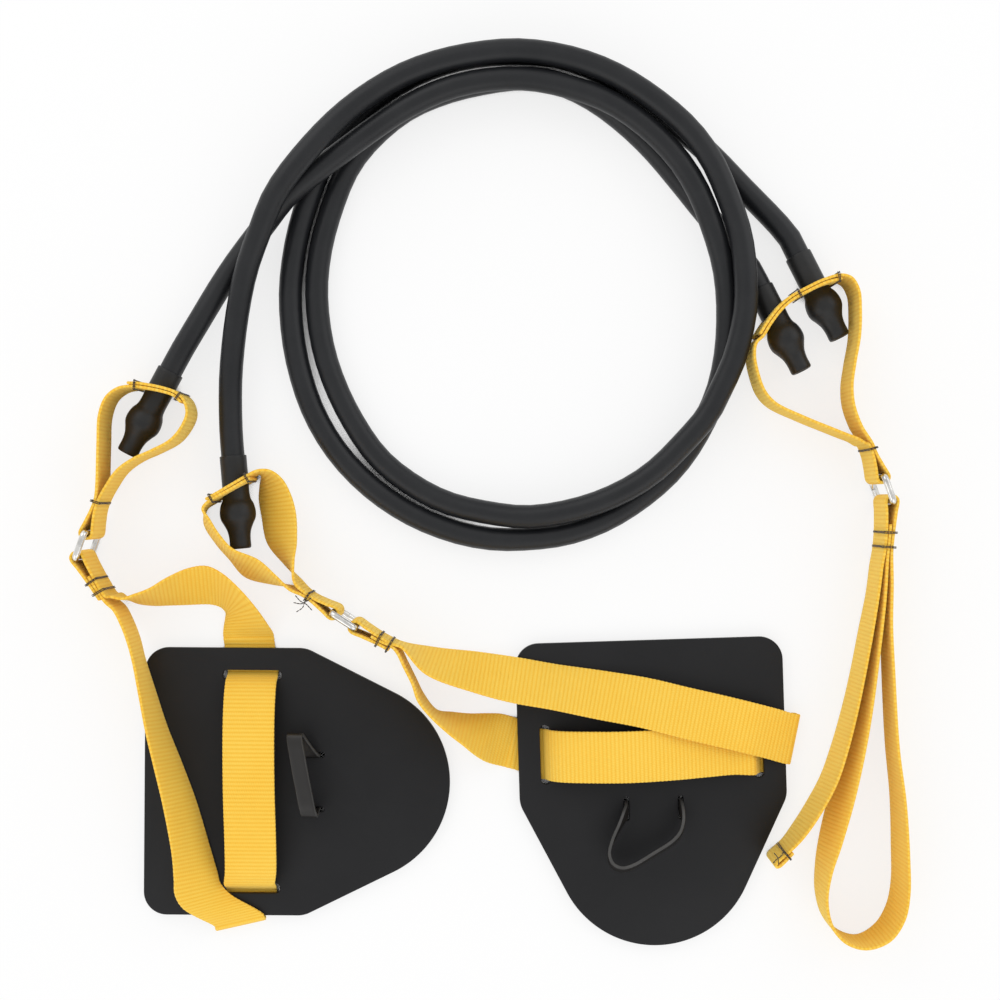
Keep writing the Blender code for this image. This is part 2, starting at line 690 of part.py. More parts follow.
def handle_loop_b():
    top = [(-138.2, 55.1), (-126.2, 62), (-117.6, 66.9)]
    down = [(-114.2, 68.4, 0.1, 0.05), (-111.2, 67.6, 0.28, 0.12), (-108.8, 63.4, 0.52, 0.16),
            (-106.9, 56.5, 0.7, 0.1), (-105, 47.5, 0.75, 0.04), (-103.2, 34, 0.66, 0.06),
            (-99.4, 24.0, 0.3, 0.08), (-95.2, 15.0)]
    up = [(-97.4, 11.3), (-106.5, 15.2, 0.2, 0.18), (-118.0, 21.0, 0.36, 0.36),
          (-128.0, 28.2, 0.2, 0.22), (-134.6, 35.6, 0.2, 0.2), (-139.9, 44.3, 0.25, 0.1),
          (-140.8, 50.3, 0.1, 0.0)]
    return teardrop(top, down, RING_B[0], (0.84, -0.54), up)


def anchor_loop():
    top = [(130.6, 135.2), (134.3, 141.2), (140.2, 148.8), (146.3, 153.9), (153.2, 157.7), (162.2, 161.9),
           (170, 163.9)]
    down = [(175, 162.4), (178.4, 156.5), (179.2, 147), (178.8, 134.5), (176.6, 121.5), (175.2, 110.5),
            (176, 101), (179.5, 91)]
    up = [(181.5, 82.4), (178.2, 84.4), (173, 86.4), (165.5, 89.4), (152, 94.9), (138, 101.7), (132.8, 107.5),
          (129.6, 116), (127.9, 125), (128.8, 131)]
    return teardrop(top, down, RING_C[0], (0.34, -0.94), up)


def paddle_strap_a():
    aim = (-0.525, 0.851)
    start = ring_fold(RING_A[1], aim, -1, 3, STRAP_A_TACK_BACK)
    turn = [(-184.3, 7.9, 0, 0), (-180, 6.3, 0.1, 0.05), (-175, 6, 0.12, 0.2), (-167, 7, 0.12, 0.37),
            (-159, 9.5, 0.09, 0.56), (-148.5, 12, 0.07, 0.74), (-139.5, 12.5, 0.05, 0.77),
            (-133, 10, 0.15, 0.68), (-127.5, 5, 0.38, 0.5), (-123.5, -1.5, 0.72, 0.2),
            (-121.7, -8, 0.93, 0.06)]
    lead_in = [flat(-121, -13.2, UNDER_Z + 0.4, (1.0, 0.02)), flat(-120.5, -18, UNDER_Z, (1.0, 0.0)),
               flat(-120.2, -24, UNDER_Z, (1.0, 0.0))]
    arch = [(43, 8.2, 0.1), (29, 11.6, 0.2), (0, 13.0, 0.7), (-29, 11.6, 1.5), (-43, 8.2, 1.2)]
    hand = hand_strap(PADDLE_A, arch)
    fold = edge_fold(-125.0, -153.9, (0.22, -0.975), 1, True)
    edge = [(-140, -142.8, -0.86, -0.14), (-144, -136.2, -0.77, -0.06), (-144.8, -129.8, -0.7, 0),
            (-146.8, -117.5, -0.57, 0.02), (-152.5, -93, -0.43, 0.03), (-158.5, -73, -0.31, 0.06),
            (-163.5, -57, -0.2, 0.08), (-168, -39.5, -0.09, 0.06), (-172, -23.8, 0, 0.03)]
    home = [(-175.2, -14, 2.5), (-178.6, -6, 1.0), (-182.6, 1.5, 0.6)]
    return (start + [station(x, y, 0.4, a, b) for x, y, a, b in turn] + lead_in + hand + fold
            + [station(x, y, PADDLE_TOP + SEAT_GAP, a, b, -1) for x, y, a, b in edge]
            + [station(x, y, foot, flip=-1) for x, y, foot in home]
            + [(*place[:3], 0.0, 0.0, -1.0) for place in lane_end(RING_A[1], aim, STRAP_A_TACK_BACK)])


def paddle_strap_b():
    aim = (-0.873, 0.487)
    start = ring_fold(RING_B[1], aim, -1, 3, STRAP_B_TACK_BACK)
    rest = PADDLE_TOP + SEAT_GAP
    over = [station(-43.0, -16.6, 1.5), station(-29.5, -24.2, 2.0, -0.15, -0.42),
            station(-7.5, -29.8, 3.0, -0.12, -0.70), station(11, -33.6, rest, -0.14, -0.81),
            station(32, -37.3, rest, -0.15, -0.81)]
    heights = [(55, -41.3, 13.0, 0.42), (76, -45.0, 13.5, 0.33), (95, -49.6, 14.6, 0.25),
               (107, -52.5, 13.6, 0.18), (118, -55.2, 12.8, 0.1), (128.6, -57.9, 11.8, 0.03),
               (139.5, -61.0, 8.6, 0.0)]
    lifted = []
    for x, y, z, up in heights:
        lean = math.sqrt(1 - up * up)
        lifted.append((x, y, z - WEB_W / 2 * up - WEB_T / 2 * lean, -0.22 * lean, -0.976 * lean, up))
    fold = edge_fold(148.4, -63.8, (0.98, -0.2), -1, False)
    arch = [(40, 4.4, -0.6), (28, 6.5, -0.3), (8, 10.0, 0.3), (-14, 11.6, 0.6), (-33, 10.1, 0.3),
            (-44, 7.6, 0.1)]
    hand = hand_strap(PADDLE_B, arch)
    out = [flat(15.5, -68.0, UNDER_Z, (-0.15, -1.0)), flat(9.5, -66.2, UNDER_Z, (-0.25, -0.97))]
    rising = [(3.5, -64.2, -0.24, -0.95), (-3.5, -61.6, -0.2, -0.78), (-11.5, -58.4, -0.12, -0.5),
              (-19.6, -55, -0.05, -0.28), (-28.2, -50.2, -0.06, 0), (-34.4, -42.5, -0.05, 0),
              (-37.8, -34.5, 0, 0), (-41.6, -26.8, 0, 0)]
    return (start + over + lifted + fold + hand + out + [station(x, y, 0.4, a, b) for x, y, a, b in rising]
            + lane_end(RING_B[1], aim, STRAP_B_TACK_BACK))


def anchor_strap():
    aim = (0.06, 0.998)
    hem = [(146.7, -116.4), (139.8, -123), (138.5, -123.1), (138.5, -121.7)]
    first = [(145.4, -115.2, 0, 0), (150.8, -108.8, 0.06, 0), (158.4, -97.5, 0.11, 0.03),
             (166.2, -83, 0.11, 0.04), (171.7, -67, 0.09, 0.03), (177, -47, 0.06, 0.02),
             (180.5, -31, 0.04, 0), (184.5, -10, 0.03, 0), (187.8, 8, 0, 0), (189.6, 22, 0, 0)]
    down = [(194.6, 16, 0, 0), (194.7, -6.5, -0.03, 0), (195.5, -29, -0.01, 0), (197.5, -66, 0.01, 0),
            (200.3, -92, 0.05, 0), (201.5, -118, 0.09, 0), (201.5, -136.5, 0.1, -0.05),
            (199, -148.5, 0.1, -0.06), (192.8, -158, 0.06, -0.06), (182.5, -162.8, 0, 0),
            (172.5, -160, 0, 0), (165.6, -152, 0, 0), (162.7, -140, 0.03, 0), (163.7, -127, 0.1, 0),
            (167.2, -112.5, 0.22, 0.02), (173, -90.5, 0.26, 0),
            (179.4, -66, 0.17, 0), (184.2, -43.5, 0.08, 0), (188.6, -16.5, 0, 0),
            (191, 5, 0, 0), (192, 20, 0, 0)]
    return ([station(x, y, 0.0) for x, y in hem] + [station(x, y, 0.0, a, b) for x, y, a, b in first]
            + ring_fold(RING_C[1], aim, -1, 3, ANCHOR_TACK_BACK)
            + [station(x, y, 0.0, a, b) for x, y, a, b in down]
            + lane_end(RING_C[1], aim, ANCHOR_TACK_BACK))


def least_gap(first, second, same):
    """Least gap between two tubes' skins, or within one tube away from its own neighbours."""
    reach = 60.0
    least = math.inf
    run = [0.0]
    for a, b in zip(first, first[1:]):
        run.append(run[-1] + math.dist(a, b))
    for i, a in enumerate(first):
        for j, b in enumerate(second):
            if same and abs(run[i] - run[j]) < reach:
                continue
            least = min(least, math.dist(a, b))
    return least - TUBE_D


def build():
    for old in list(bpy.data.objects):
        bpy.data.objects.remove(old)
    curve_a = tube_curve(ROUTE_A, END_A_HANDLE, END_A_ANCHOR)
    curve_b = tube_curve(ROUTE_B, END_B_HANDLE, END_B_ANCHOR)
    tube("tube_a", curve_a)
    tube("tube_b", curve_b)
    close_a = thin_out(curve_a, 2.0)
    close_b = thin_out(curve_b, 2.0)
    print("tube gaps in mm: a to b %.2f, a to itself %.2f, b to itself %.2f" % (
        least_gap(close_a, close_b, False), least_gap(close_a, close_a, True),
        least_gap(close_b, close_b, True)))
    ends = {"a_handle": END_A_HANDLE, "b_handle": END_B_HANDLE,
            "a_anchor": END_A_ANCHOR, "b_anchor": END_B_ANCHOR}
    for place, end in ends.items():
        sleeve("sleeve_" + place, end)
        plug("plug_" + place, end)
    loop_a = webbing_loop("handle_loop_a", handle_loop_a(), [END_A_HANDLE])
    loop_b = webbing_loop("handle_loop_b", handle_loop_b(), [END_B_HANDLE])
    loop_c = webbing_loop("anchor_loop", anchor_loop(), [END_A_ANCHOR, END_B_ANCHOR])
    for name, bars in (("ring_a", RING_A), ("ring_b", RING_B), ("ring_c", RING_C)):
        wire_ring(name, bars)
    strap_a = ribbon("paddle_strap_a", paddle_strap_a(), webbing())
    strap_b = ribbon("paddle_strap_b", paddle_strap_b(), webbing())
    strap_c = ribbon("anchor_strap", anchor_strap(), webbing())
    for letter, place, arch in (("a", PADDLE_A, ARCH_A), ("b", PADDLE_B, ARCH_B)):
        paddle("paddle_" + letter, place)
        finger_loop("finger_loop_" + letter, place, arch)
        finger_pin("finger_loop_" + letter + "_left_pin", place, 1)
        finger_pin("finger_loop_" + letter + "_right_pin", place, -1)
    for name, made, place, layers in (
            ("handle_loop_a_left_seam", loop_a, (-172.5, 111.5), 1),
            ("handle_loop_a_right_seam", loop_a, (-151.2, 105.9), 1),
            ("handle_loop_a_tack", loop_a, (-189.8, 53.5), 1),
            ("handle_loop_b_left_seam", loop_b, (-136, 56.4), 1),
            ("handle_loop_b_right_seam", loop_b, (-118.6, 66.4), 1),
            ("handle_loop_b_tack", loop_b, (-88, 8.8), 1),
            ("anchor_loop_middle_seam", loop_c, (149.0, 155.6), 1),
            ("anchor_loop_right_seam", loop_c, (168.6, 163.6), 1),
            ("anchor_loop_tack", loop_c, (185.2, 80), 1),
            ("paddle_strap_a_upper_tack", strap_a[:len(strap_a) // 3], (-194, 14.4), 2),
            ("paddle_strap_a_lower_tack", strap_a[:len(strap_a) // 3], (-190.8, 9.3), 2),
            ("paddle_strap_b_upper_tack", strap_b[:len(strap_b) // 3], (-54.9, -14.6), 2),
            ("paddle_strap_b_lower_tack", strap_b[:len(strap_b) // 3], (-50, -17.1), 2),
            ("anchor_strap_upper_tack", strap_c[:len(strap_c) // 2], (191, 39.2), 2),
            ("anchor_strap_lower_tack", strap_c[:len(strap_c) // 2], (190.6, 32), 2),
            ("anchor_strap_hem", strap_c[len(strap_c) // 60:], (144.3, -118.2), 1)):
        seam(name, made, place, layers)


build()
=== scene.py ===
# Swim training resistance band, laid out on a white table and seen from straight above.
# Lists are in millimetres and become metres as each mesh is made.
import random
from math import acos, atan2, cos, dist, hypot, pi, radians, sin, sqrt, tan

import bmesh
import bpy
from mathutils import Matrix, Vector


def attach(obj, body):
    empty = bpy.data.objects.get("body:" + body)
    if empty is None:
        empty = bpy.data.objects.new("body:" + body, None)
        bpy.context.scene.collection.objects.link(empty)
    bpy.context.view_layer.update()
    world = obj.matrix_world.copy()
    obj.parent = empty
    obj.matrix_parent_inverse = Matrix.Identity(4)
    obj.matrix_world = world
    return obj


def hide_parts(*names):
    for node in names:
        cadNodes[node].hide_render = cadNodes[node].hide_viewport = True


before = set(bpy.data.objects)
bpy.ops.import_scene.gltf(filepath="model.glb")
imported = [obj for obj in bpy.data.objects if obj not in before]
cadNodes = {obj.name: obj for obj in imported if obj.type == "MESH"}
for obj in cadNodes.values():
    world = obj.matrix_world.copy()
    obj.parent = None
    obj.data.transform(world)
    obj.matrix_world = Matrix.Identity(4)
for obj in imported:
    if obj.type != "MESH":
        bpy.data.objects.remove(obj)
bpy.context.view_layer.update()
studioScene = bpy.context.scene
millimetre = 0.001
inch = 25.4
centreShift = (-0.24, 0.7)  # the CAD model's own shift along X and Y
sharpAbove = {"tape": 60.0, "turned": 50.0, "plate": 25.0}  # degrees between faces


def toMetres(point):
    return Vector((point[0] + centreShift[0], point[1] + centreShift[1], point[2])) * millimetre


def paint(made, finish):
    made.data.materials.clear()
    made.data.materials.append(finish)


def addObject(name, data, finish):
    made = bpy.data.objects.new(name, data)
    paint(made, finish)
    studioScene.collection.objects.link(made)
    return made


def smoothShade(made, kind):
    made.data.shade_smooth()
    made.data.set_sharp_from_angle(angle=radians(sharpAbove[kind]))


def meshFrom(name, points, faces, finish, kind, uvs=()):
    mesh = bpy.data.meshes.new(name)
    mesh.from_pydata([toMetres(point) for point in points], [], faces)
    if uvs:
        layer = mesh.uv_layers.new(name="tape")
        for slot, uv in zip(layer.data, uvs):
            slot.uv = uv
    edit = bmesh.new()
    edit.from_mesh(mesh)
    bmesh.ops.recalc_face_normals(edit, faces=edit.faces)
    edit.to_mesh(mesh)
    edit.free()
    made = addObject(name, mesh, finish)
    smoothShade(made, kind)
    return made


def bakeModifiers(made):
    # the evaluated shape becomes a plain mesh and the modifiers go
    bpy.context.view_layer.update()
    shape = bpy.data.meshes.new_from_object(made.evaluated_get(bpy.context.evaluated_depsgraph_get()))
    made.modifiers.clear()
    made.data = shape
    return made


# Camera straight above, at the height that gives the photograph's perspective
view = {"height": 800.0, "overX": 4.5, "overY": 54.75, "lens": 57.6, "sensor": 36.0, "clipStart": 0.01}
cameraData = bpy.data.cameras.new("camera")
cameraData.lens = view["lens"]
cameraData.sensor_width = view["sensor"]
cameraData.clip_start = view["clipStart"]
camera = bpy.data.objects.new("camera", cameraData)
camera.location = toMetres((view["overX"], view["overY"], view["height"]))
studioScene.collection.objects.link(camera)
studioScene.camera = camera
print("camera placed")


# Node helpers: a socket takes a value or a link from another socket
def setInputs(node, inputs):
    for name, value in inputs.items():
        if isinstance(value, bpy.types.NodeSocket):
            node.id_data.links.new(value, node.inputs[name])
        else:
            node.inputs[name].default_value = value


def addNode(tree, kind, inputs=None, **settings):
    node = tree.nodes.new(kind)
    for name, value in settings.items():
        setattr(node, name, value)
    setInputs(node, inputs or {})
    return node


def flow(tree, kind, inputs=None, **settings):
    return addNode(tree, kind, inputs, **settings).outputs[0]


def newFinish(name, colour):
    made = bpy.data.materials.new(name)
    made.use_nodes = True
    made.diffuse_color = (*colour, 1.0)
    shader = made.node_tree.nodes["Principled BSDF"]
    shader.inputs["Base Color"].default_value = (*colour, 1.0)
    return made, made.node_tree, shader


def mathNode(operation, first, second=0.5):
    return flow(first.id_data, "ShaderNodeMath", {0: first, 1: second}, operation=operation)


def times(first, second):
    return mathNode("MULTIPLY", first, second)


def plus(first, second):
    return mathNode("ADD", first, second)


def ridges(phase):
    return mathNode("ABSOLUTE", mathNode("SINE", phase))


def noiseNode(vector, scale, detail=3.0, roughness=0.5):
    return flow(vector.id_data, "ShaderNodeTexNoise",
                {"Vector": vector, "Scale": scale, "Detail": detail, "Roughness": roughness})


def rampNode(factor, stops):
    node = addNode(factor.id_data, "ShaderNodeValToRGB", {"Fac": factor})
    band = node.color_ramp
    while len(band.elements) < len(stops):
        band.elements.new(0.5)
    for element, (place, colour) in zip(band.elements, stops):
        element.position = place
        element.color = (*colour, 1.0)
    return node.outputs["Color"]


def bumpNode(shader, height, strength, distance):
    normal = flow(shader.id_data, "ShaderNodeBump",
                  {"Strength": strength, "Distance": distance, "Height": height})
    setInputs(shader, {"Normal": normal})


def objectPlace(tree):
    return tree.nodes.new("ShaderNodeTexCoord").outputs["Object"]


def tapeUv(tree):
    parts = addNode(tree, "ShaderNodeSeparateXYZ", {"Vector": flow(tree, "ShaderNodeUVMap", uv_map="tape")})
    return parts.outputs["X"], parts.outputs["Y"]


# Woven polyester tape: cross ribs over fine lengthwise yarns, on the tape's own UV in inches. Its colour has
# painted shade in the rib valleys and a painted highlight on the rib crests, mixed with random mottle
weave = {
    # deep is painted shade for the rib valleys and crest a painted highlight for the rib crests; random
    # mottle also reaches both
    "bright": (0.940, 0.560, 0.054), "deep": (0.900, 0.410, 0.015), "crest": (0.965, 0.650, 0.105),
    "ribPitch": 2.0, "yarnPitch": 1.15, "ribShare": 0.62, "yarnShare": 0.38, "ribHeight": 0.00028,
    "reliefShadeAndHighlight": 0.62, "fuzzScale": 2600.0, "fuzzTone": 0.22, "cloudScale": 34.0, "cloudTone": 0.34,
    "roughness": 0.78, "sheen": 0.80, "sheenTint": (1.0, 0.80, 0.26, 1.0),
}


def wovenFinish():
    made, tree, shader = newFinish("wovenYellowTape", weave["bright"])
    across, along = [times(part, inch) for part in tapeUv(tree)]
    rib = ridges(times(along, pi / weave["ribPitch"]))
    step = mathNode("FLOOR", mathNode("DIVIDE", along, weave["ribPitch"]))
    yarn = ridges(plus(times(across, pi / weave["yarnPitch"]), times(step, pi / 2)))
    relief = plus(times(rib, weave["ribShare"]), times(yarn, weave["yarnShare"]))
    place = objectPlace(tree)
    fuzz = noiseNode(place, weave["fuzzScale"], 2.0)
    cloudy = noiseNode(place, weave["cloudScale"])
    mottle = plus(times(fuzz, weave["fuzzTone"]), times(cloudy, weave["cloudTone"]))
    # painted shade and highlight from the rib relief, plus random mottle
    tone = plus(times(relief, weave["reliefShadeAndHighlight"]), mottle)
    setInputs(shader, {
        "Base Color": rampNode(
            tone, [(0.12, weave["deep"]), (0.62, weave["bright"]), (0.95, weave["crest"])]),
        "Roughness": weave["roughness"], "Sheen Weight": weave["sheen"], "Sheen Roughness": 0.5,
        "Sheen Tint": weave["sheenTint"], "Specular IOR Level": 0.25,
    })
    bumpNode(shader, plus(relief, times(fuzz, 0.25)), 0.75, weave["ribHeight"])
    return made


# Dark rubbers and plastics: a base tone, a bloom of lighter dust and a fine grain
darkFinishes = {
    "latexTubing": {
        "base": (0.0075, 0.0083, 0.01), "bloom": (0.015, 0.0158, 0.0178), "bloomScale": 42.0,
        "grainScale": 900.0, "grain": 0.00003, "rough": (0.34, 0.48), "specular": 0.34},
    "sleeveRubber": {
        "base": (0.0085, 0.0088, 0.0092), "bloom": (0.018, 0.018, 0.0185), "bloomScale": 120.0,
        "grainScale": 1500.0, "grain": 0.00005, "rough": (0.36, 0.52), "specular": 0.36},
    "plugPlastic": {
        "base": (0.05, 0.05, 0.054), "bloom": (0.075, 0.075, 0.08), "bloomScale": 160.0,
        "grainScale": 1500.0, "grain": 0.00003, "rough": (0.35, 0.5), "specular": 0.5},
    "mouldedPaddlePlastic": {
        "base": (0.0085, 0.0086, 0.0096), "bloom": (0.0125, 0.0126, 0.0138), "bloomScale": 26.0,
        "grainScale": 2200.0, "grain": 0.00004, "rough": (0.44, 0.6), "specular": 0.24},
}


def darkFinish(name):
    size = darkFinishes[name]
    made, tree, shader = newFinish(name, size["base"])
    place = objectPlace(tree)
    bloom = noiseNode(place, size["bloomScale"], 5.0, 0.62)
    grain = noiseNode(place, size["grainScale"], 2.0, 0.6)
    tone = plus(times(bloom, 0.8), times(grain, 0.2))
    low, high = size["rough"]
    setInputs(shader, {
        "Base Color": rampNode(tone, [(0.34, size["base"]), (0.78, size["bloom"])]),
        "Roughness": plus(times(tone, high - low), low),
        "Specular IOR Level": size["specular"],
    })
    bumpNode(shader, grain, 0.6, size["grain"])
    return made


# Finger band: smoky brown rubber, a little see-through, with a painted highlight along its edges
# edge is the colour of the painted highlight along the band's edges
bandLooks = {"smoke": (0.0125, 0.0110, 0.0100), "edge": (0.060, 0.059, 0.057), "roughness": 0.4,
             "through": 0.12, "refraction": 1.45}


def bandFinish():
    made, tree, shader = newFinish("smokyBandRubber", bandLooks["smoke"])
    edgeHighlightFromMiddle = mathNode("ABSOLUTE", mathNode("SUBTRACT", tapeUv(tree)[0], 0.5))
    cloudy = noiseNode(objectPlace(tree), 240.0, 4.0)
    tone = plus(edgeHighlightFromMiddle, times(cloudy, 0.05))
    setInputs(shader, {
        # painted highlight: the colour turns paler towards both edges of the band
        "Base Color": rampNode(tone, [(0.46, bandLooks["smoke"]), (0.53, bandLooks["edge"])]),
        "Roughness": bandLooks["roughness"], "Transmission Weight": bandLooks["through"],
        "IOR": bandLooks["refraction"],
    })
    bumpNode(shader, cloudy, 0.4, 0.0001)
    return made


threadLooks = {"dark": (0.012, 0.007, 0.006), "light": (0.045, 0.030, 0.024), "roughness": 0.7, "sheen": 0.2}


def threadFinish():
    made, tree, shader = newFinish("blackSewingThread", threadLooks["dark"])
    twist = noiseNode(objectPlace(tree), 2400.0)
    setInputs(shader, {
        "Base Color": rampNode(twist, [(0.35, threadLooks["dark"]), (0.75, threadLooks["light"])]),
        "Roughness": threadLooks["roughness"], "Sheen Weight": threadLooks["sheen"],
    })
    bumpNode(shader, twist, 0.5, 0.0001)
    return made


nickelLooks = {"bright": (0.800, 0.790, 0.760), "dull": (0.560, 0.550, 0.530), "rough": (0.12, 0.28)}


def nickelFinish():
    made, tree, shader = newFinish("nickelWire", nickelLooks["bright"])
    place = objectPlace(tree)
    worn = noiseNode(place, 260.0, 4.0)
    low, high = nickelLooks["rough"]
    setInputs(shader, {
        "Base Color": rampNode(worn, [(0.3, nickelLooks["dull"]), (0.6, nickelLooks["bright"])]),
        "Roughness": plus(times(worn, high - low), low), "Metallic": 1.0,
    })
    bumpNode(shader, noiseNode(place, 1500.0, 2.0), 0.3, 0.00005)
    return made


tapeFinish = wovenFinish()
tubeFinish = darkFinish("latexTubing")
sleeveFinish = darkFinish("sleeveRubber")
plugFinish = darkFinish("plugPlastic")
paddleFinish = darkFinish("mouldedPaddlePlastic")
fingerFinish = bandFinish()
threadBlack = threadFinish()
ringFinish = nickelFinish()
print("finishes made")


# Smooth curve through points of any number of values; the first three are the place
def blendPoints(p0, p1, p2, p3, share):
    def knot(a, b):
        return max(dist(a[:3], b[:3]), 0.001) ** 0.5

    t1 = knot(p0, p1)
    t2 = t1 + knot(p1, p2)
    t3 = t2 + knot(p2, p3)
    t = t1 + (t2 - t1) * share
    made = []
    for a, b, c, d in zip(p0, p1, p2, p3):
        ab = a + (b - a) * t / t1
        bc = b + (c - b) * (t - t1) / (t2 - t1)
        cd = c + (d - c) * (t - t2) / (t3 - t2)
        abc = ab + (bc - ab) * t / t2
        bcd = bc + (cd - bc) * (t - t1) / (t3 - t1)
        made.append(abc + (bcd - abc) * (t - t1) / (t2 - t1))
    return made


def smoothCurve(points, step=0.5):
    first = [2 * a - b for a, b in zip(points[0], points[1])]
    last = [2 * a - b for a, b in zip(points[-1], points[-2])]
    padded = [first] + [list(point) for point in points] + [last]
    curve = []
    for p0, p1, p2, p3 in zip(padded, padded[1:], padded[2:], padded[3:]):
        count = max(2, round(dist(p1[:3], p2[:3]) / step))
        for i in range(count):
            curve.append(blendPoints(p0, p1, p2, p3, i / count))
    curve.append(padded[-2])
    return curve


# Sleeve ends: hole centre in the webbing, plan direction out to the end, rise in degrees, cuff to hole
sleeveEnds = {
    "a_handle": {"hole": (-161.0, 113.05), "aim": (-0.470, -0.883), "rise": 0.0, "cuff": 6.0},
    "b_handle": {"hole": (-126.4, 64.6), "aim": (0.085, -0.996), "rise": 0.0, "cuff": 12.0},
    "a_anchor": {"hole": (158.65, 161.96), "aim": (0.435, -0.900), "rise": 5.0, "cuff": 15.5},
    "b_anchor": {"hole": (139.4, 146.65), "aim": (0.435, -0.900), "rise": 5.0, "cuff": 14.3},
}
# Moulded end sleeve, with distances from its cuff
sleeveSizes = {
    "height": 9.5, "cuffRadius": 6.6, "bore": 6.25, "cuffEnd": 21.0, "bulgeAt": 28.5, "bulgeRadius": 8.9,
    "neckAt": 40.0, "neckRadius": 5.3, "length": 46.0, "neckBore": 3.3, "sides": 56,
}
tubing = {"diameter": 11.6, "depth": 20.0, "leadIn": (10, 0, -10), "pointStep": 8.0, "lastStep": 4.0,
          "ringSides": 6}


def endAxis(end):
    plan = Vector((end["aim"][0], end["aim"][1], 0.0)).normalized()
    rise = radians(end["rise"])
    aim = plan * cos(rise) + Vector((0.0, 0.0, sin(rise)))
    hole = Vector((end["hole"][0], end["hole"][1], sleeveSizes["height"]))
    return hole - aim * end["cuff"], aim


def circle(aim, sides):
    # Unit directions round an axis
    side = aim.orthogonal().normalized()
    other = aim.cross(side)
    angles = [2 * pi * k / sides for k in range(sides)]
    return [side * cos(angle) + other * sin(angle) for angle in angles]


def turnedPiece(name, profile, start, aim, finish, sides):
    points = [start + aim * along + out * radius for out in circle(aim, sides) for along, radius in profile]
    count = len(profile)
    faces = []
    for k in range(sides):
        base = k * count
        ahead = (k + 1) % sides * count
        for i in range(count):
            j = (i + 1) % count
            faces.append((base + i, base + j, ahead + j, ahead + i))
    return meshFrom(name, points, faces, finish, "turned")


def sleevePiece(name, end):
    size = sleeveSizes
    bulge, neck, cuff = size["bulgeRadius"], size["neckRadius"], size["cuffRadius"]
    cuffEnd, bulgeAt, neckAt, tip = size["cuffEnd"], size["bulgeAt"], size["neckAt"], size["length"]
    bore, neckBore, depth = size["bore"], size["neckBore"], tubing["depth"]
    # Distance from the cuff and radius, along the cuff, the bulge and the neck
    outer = [(0.4, cuff - 0.02), (8, cuff - 0.02), (14, cuff - 0.02), (cuffEnd - 1.5, cuff - 0.02),
             (cuffEnd + 0.8, bulge - 1.9), (bulgeAt - 4.4, bulge - 0.8), (bulgeAt - 0.6, bulge - 0.05),
             (bulgeAt + 2.6, bulge - 0.35), (bulgeAt + 5.6, (bulge + neck) / 2), (neckAt - 3, neck + 0.55),
             (neckAt + 0.5, neck - 0.03), (tip - 1.6, neck - 0.03)]
    skin = [(along, radius) for along, radius, _ in smoothCurve([(a, r, 0.0) for a, r in outer], 0.9)]
    lip = [(0.0, cuff - 0.25), (0.12, cuff - 0.12)]
    nose = [(tip - 0.6, neck - 0.14), (tip - 0.16, neck - 0.5), (tip, neck - 0.95), (tip, neckBore + 0.35),
            (tip - 0.35, neckBore)]
    inside = [(depth + 17.7, neckBore), (depth + 17.1, 4.8), (bulgeAt, bulge - 1.5), (depth, bore),
              (0.0, bore)]
    return turnedPiece(name, lip + skin + nose + inside, *endAxis(end), sleeveFinish, size["sides"])


# The tubes' free runs between their sleeves, the same points as the CAD model's
routeA = [
    (-145, 141.5, 9.5), (-128.5, 168.5, 9), (-109.5, 193.5, 10.5), (-101, 203, 15), (-89, 212.5, 18),
    (-73, 224.5, 18.8), (-57.5, 236, 18.5), (-41.5, 246.5, 18.5), (-22, 255.5, 18.5), (-2.5, 260, 18),
    (19, 260.5, 18), (42.5, 255.5, 18), (60, 248.5, 18), (77, 236.5, 18), (91.5, 221.5, 18),
    (101.5, 205.5, 18), (109, 186.5, 17.7), (113.5, 173, 15), (116, 160.5, 12.5), (117, 144, 10),
    (116, 126.5, 8.5), (112.5, 109.5, 6.8), (106, 94, 6), (98, 80, 6), (88.5, 68, 6), (74, 55.5, 6),
    (56, 44.5, 6), (37.5, 38, 6), (19, 35.5, 6), (0, 35.5, 6), (-19.5, 39.5, 6), (-41, 48.5, 6),
    (-60.5, 62, 6), (-76.5, 79, 6), (-88, 98.5, 6), (-95, 119, 6), (-98.5, 138, 6), (-99.5, 159, 6),
    (-97, 180.5, 6), (-92.5, 198.5, 6), (-88, 211, 6), (-82, 226, 6), (-68, 244.5, 6), (-50, 259, 6),
    (-29, 269.5, 6), (-7.5, 275, 6), (14.5, 276.5, 6), (34.5, 274.5, 6), (54.5, 267, 6), (74, 254.5, 6),
    (94, 239, 6), (108.5, 226.5, 6), (123.5, 211, 6),
]
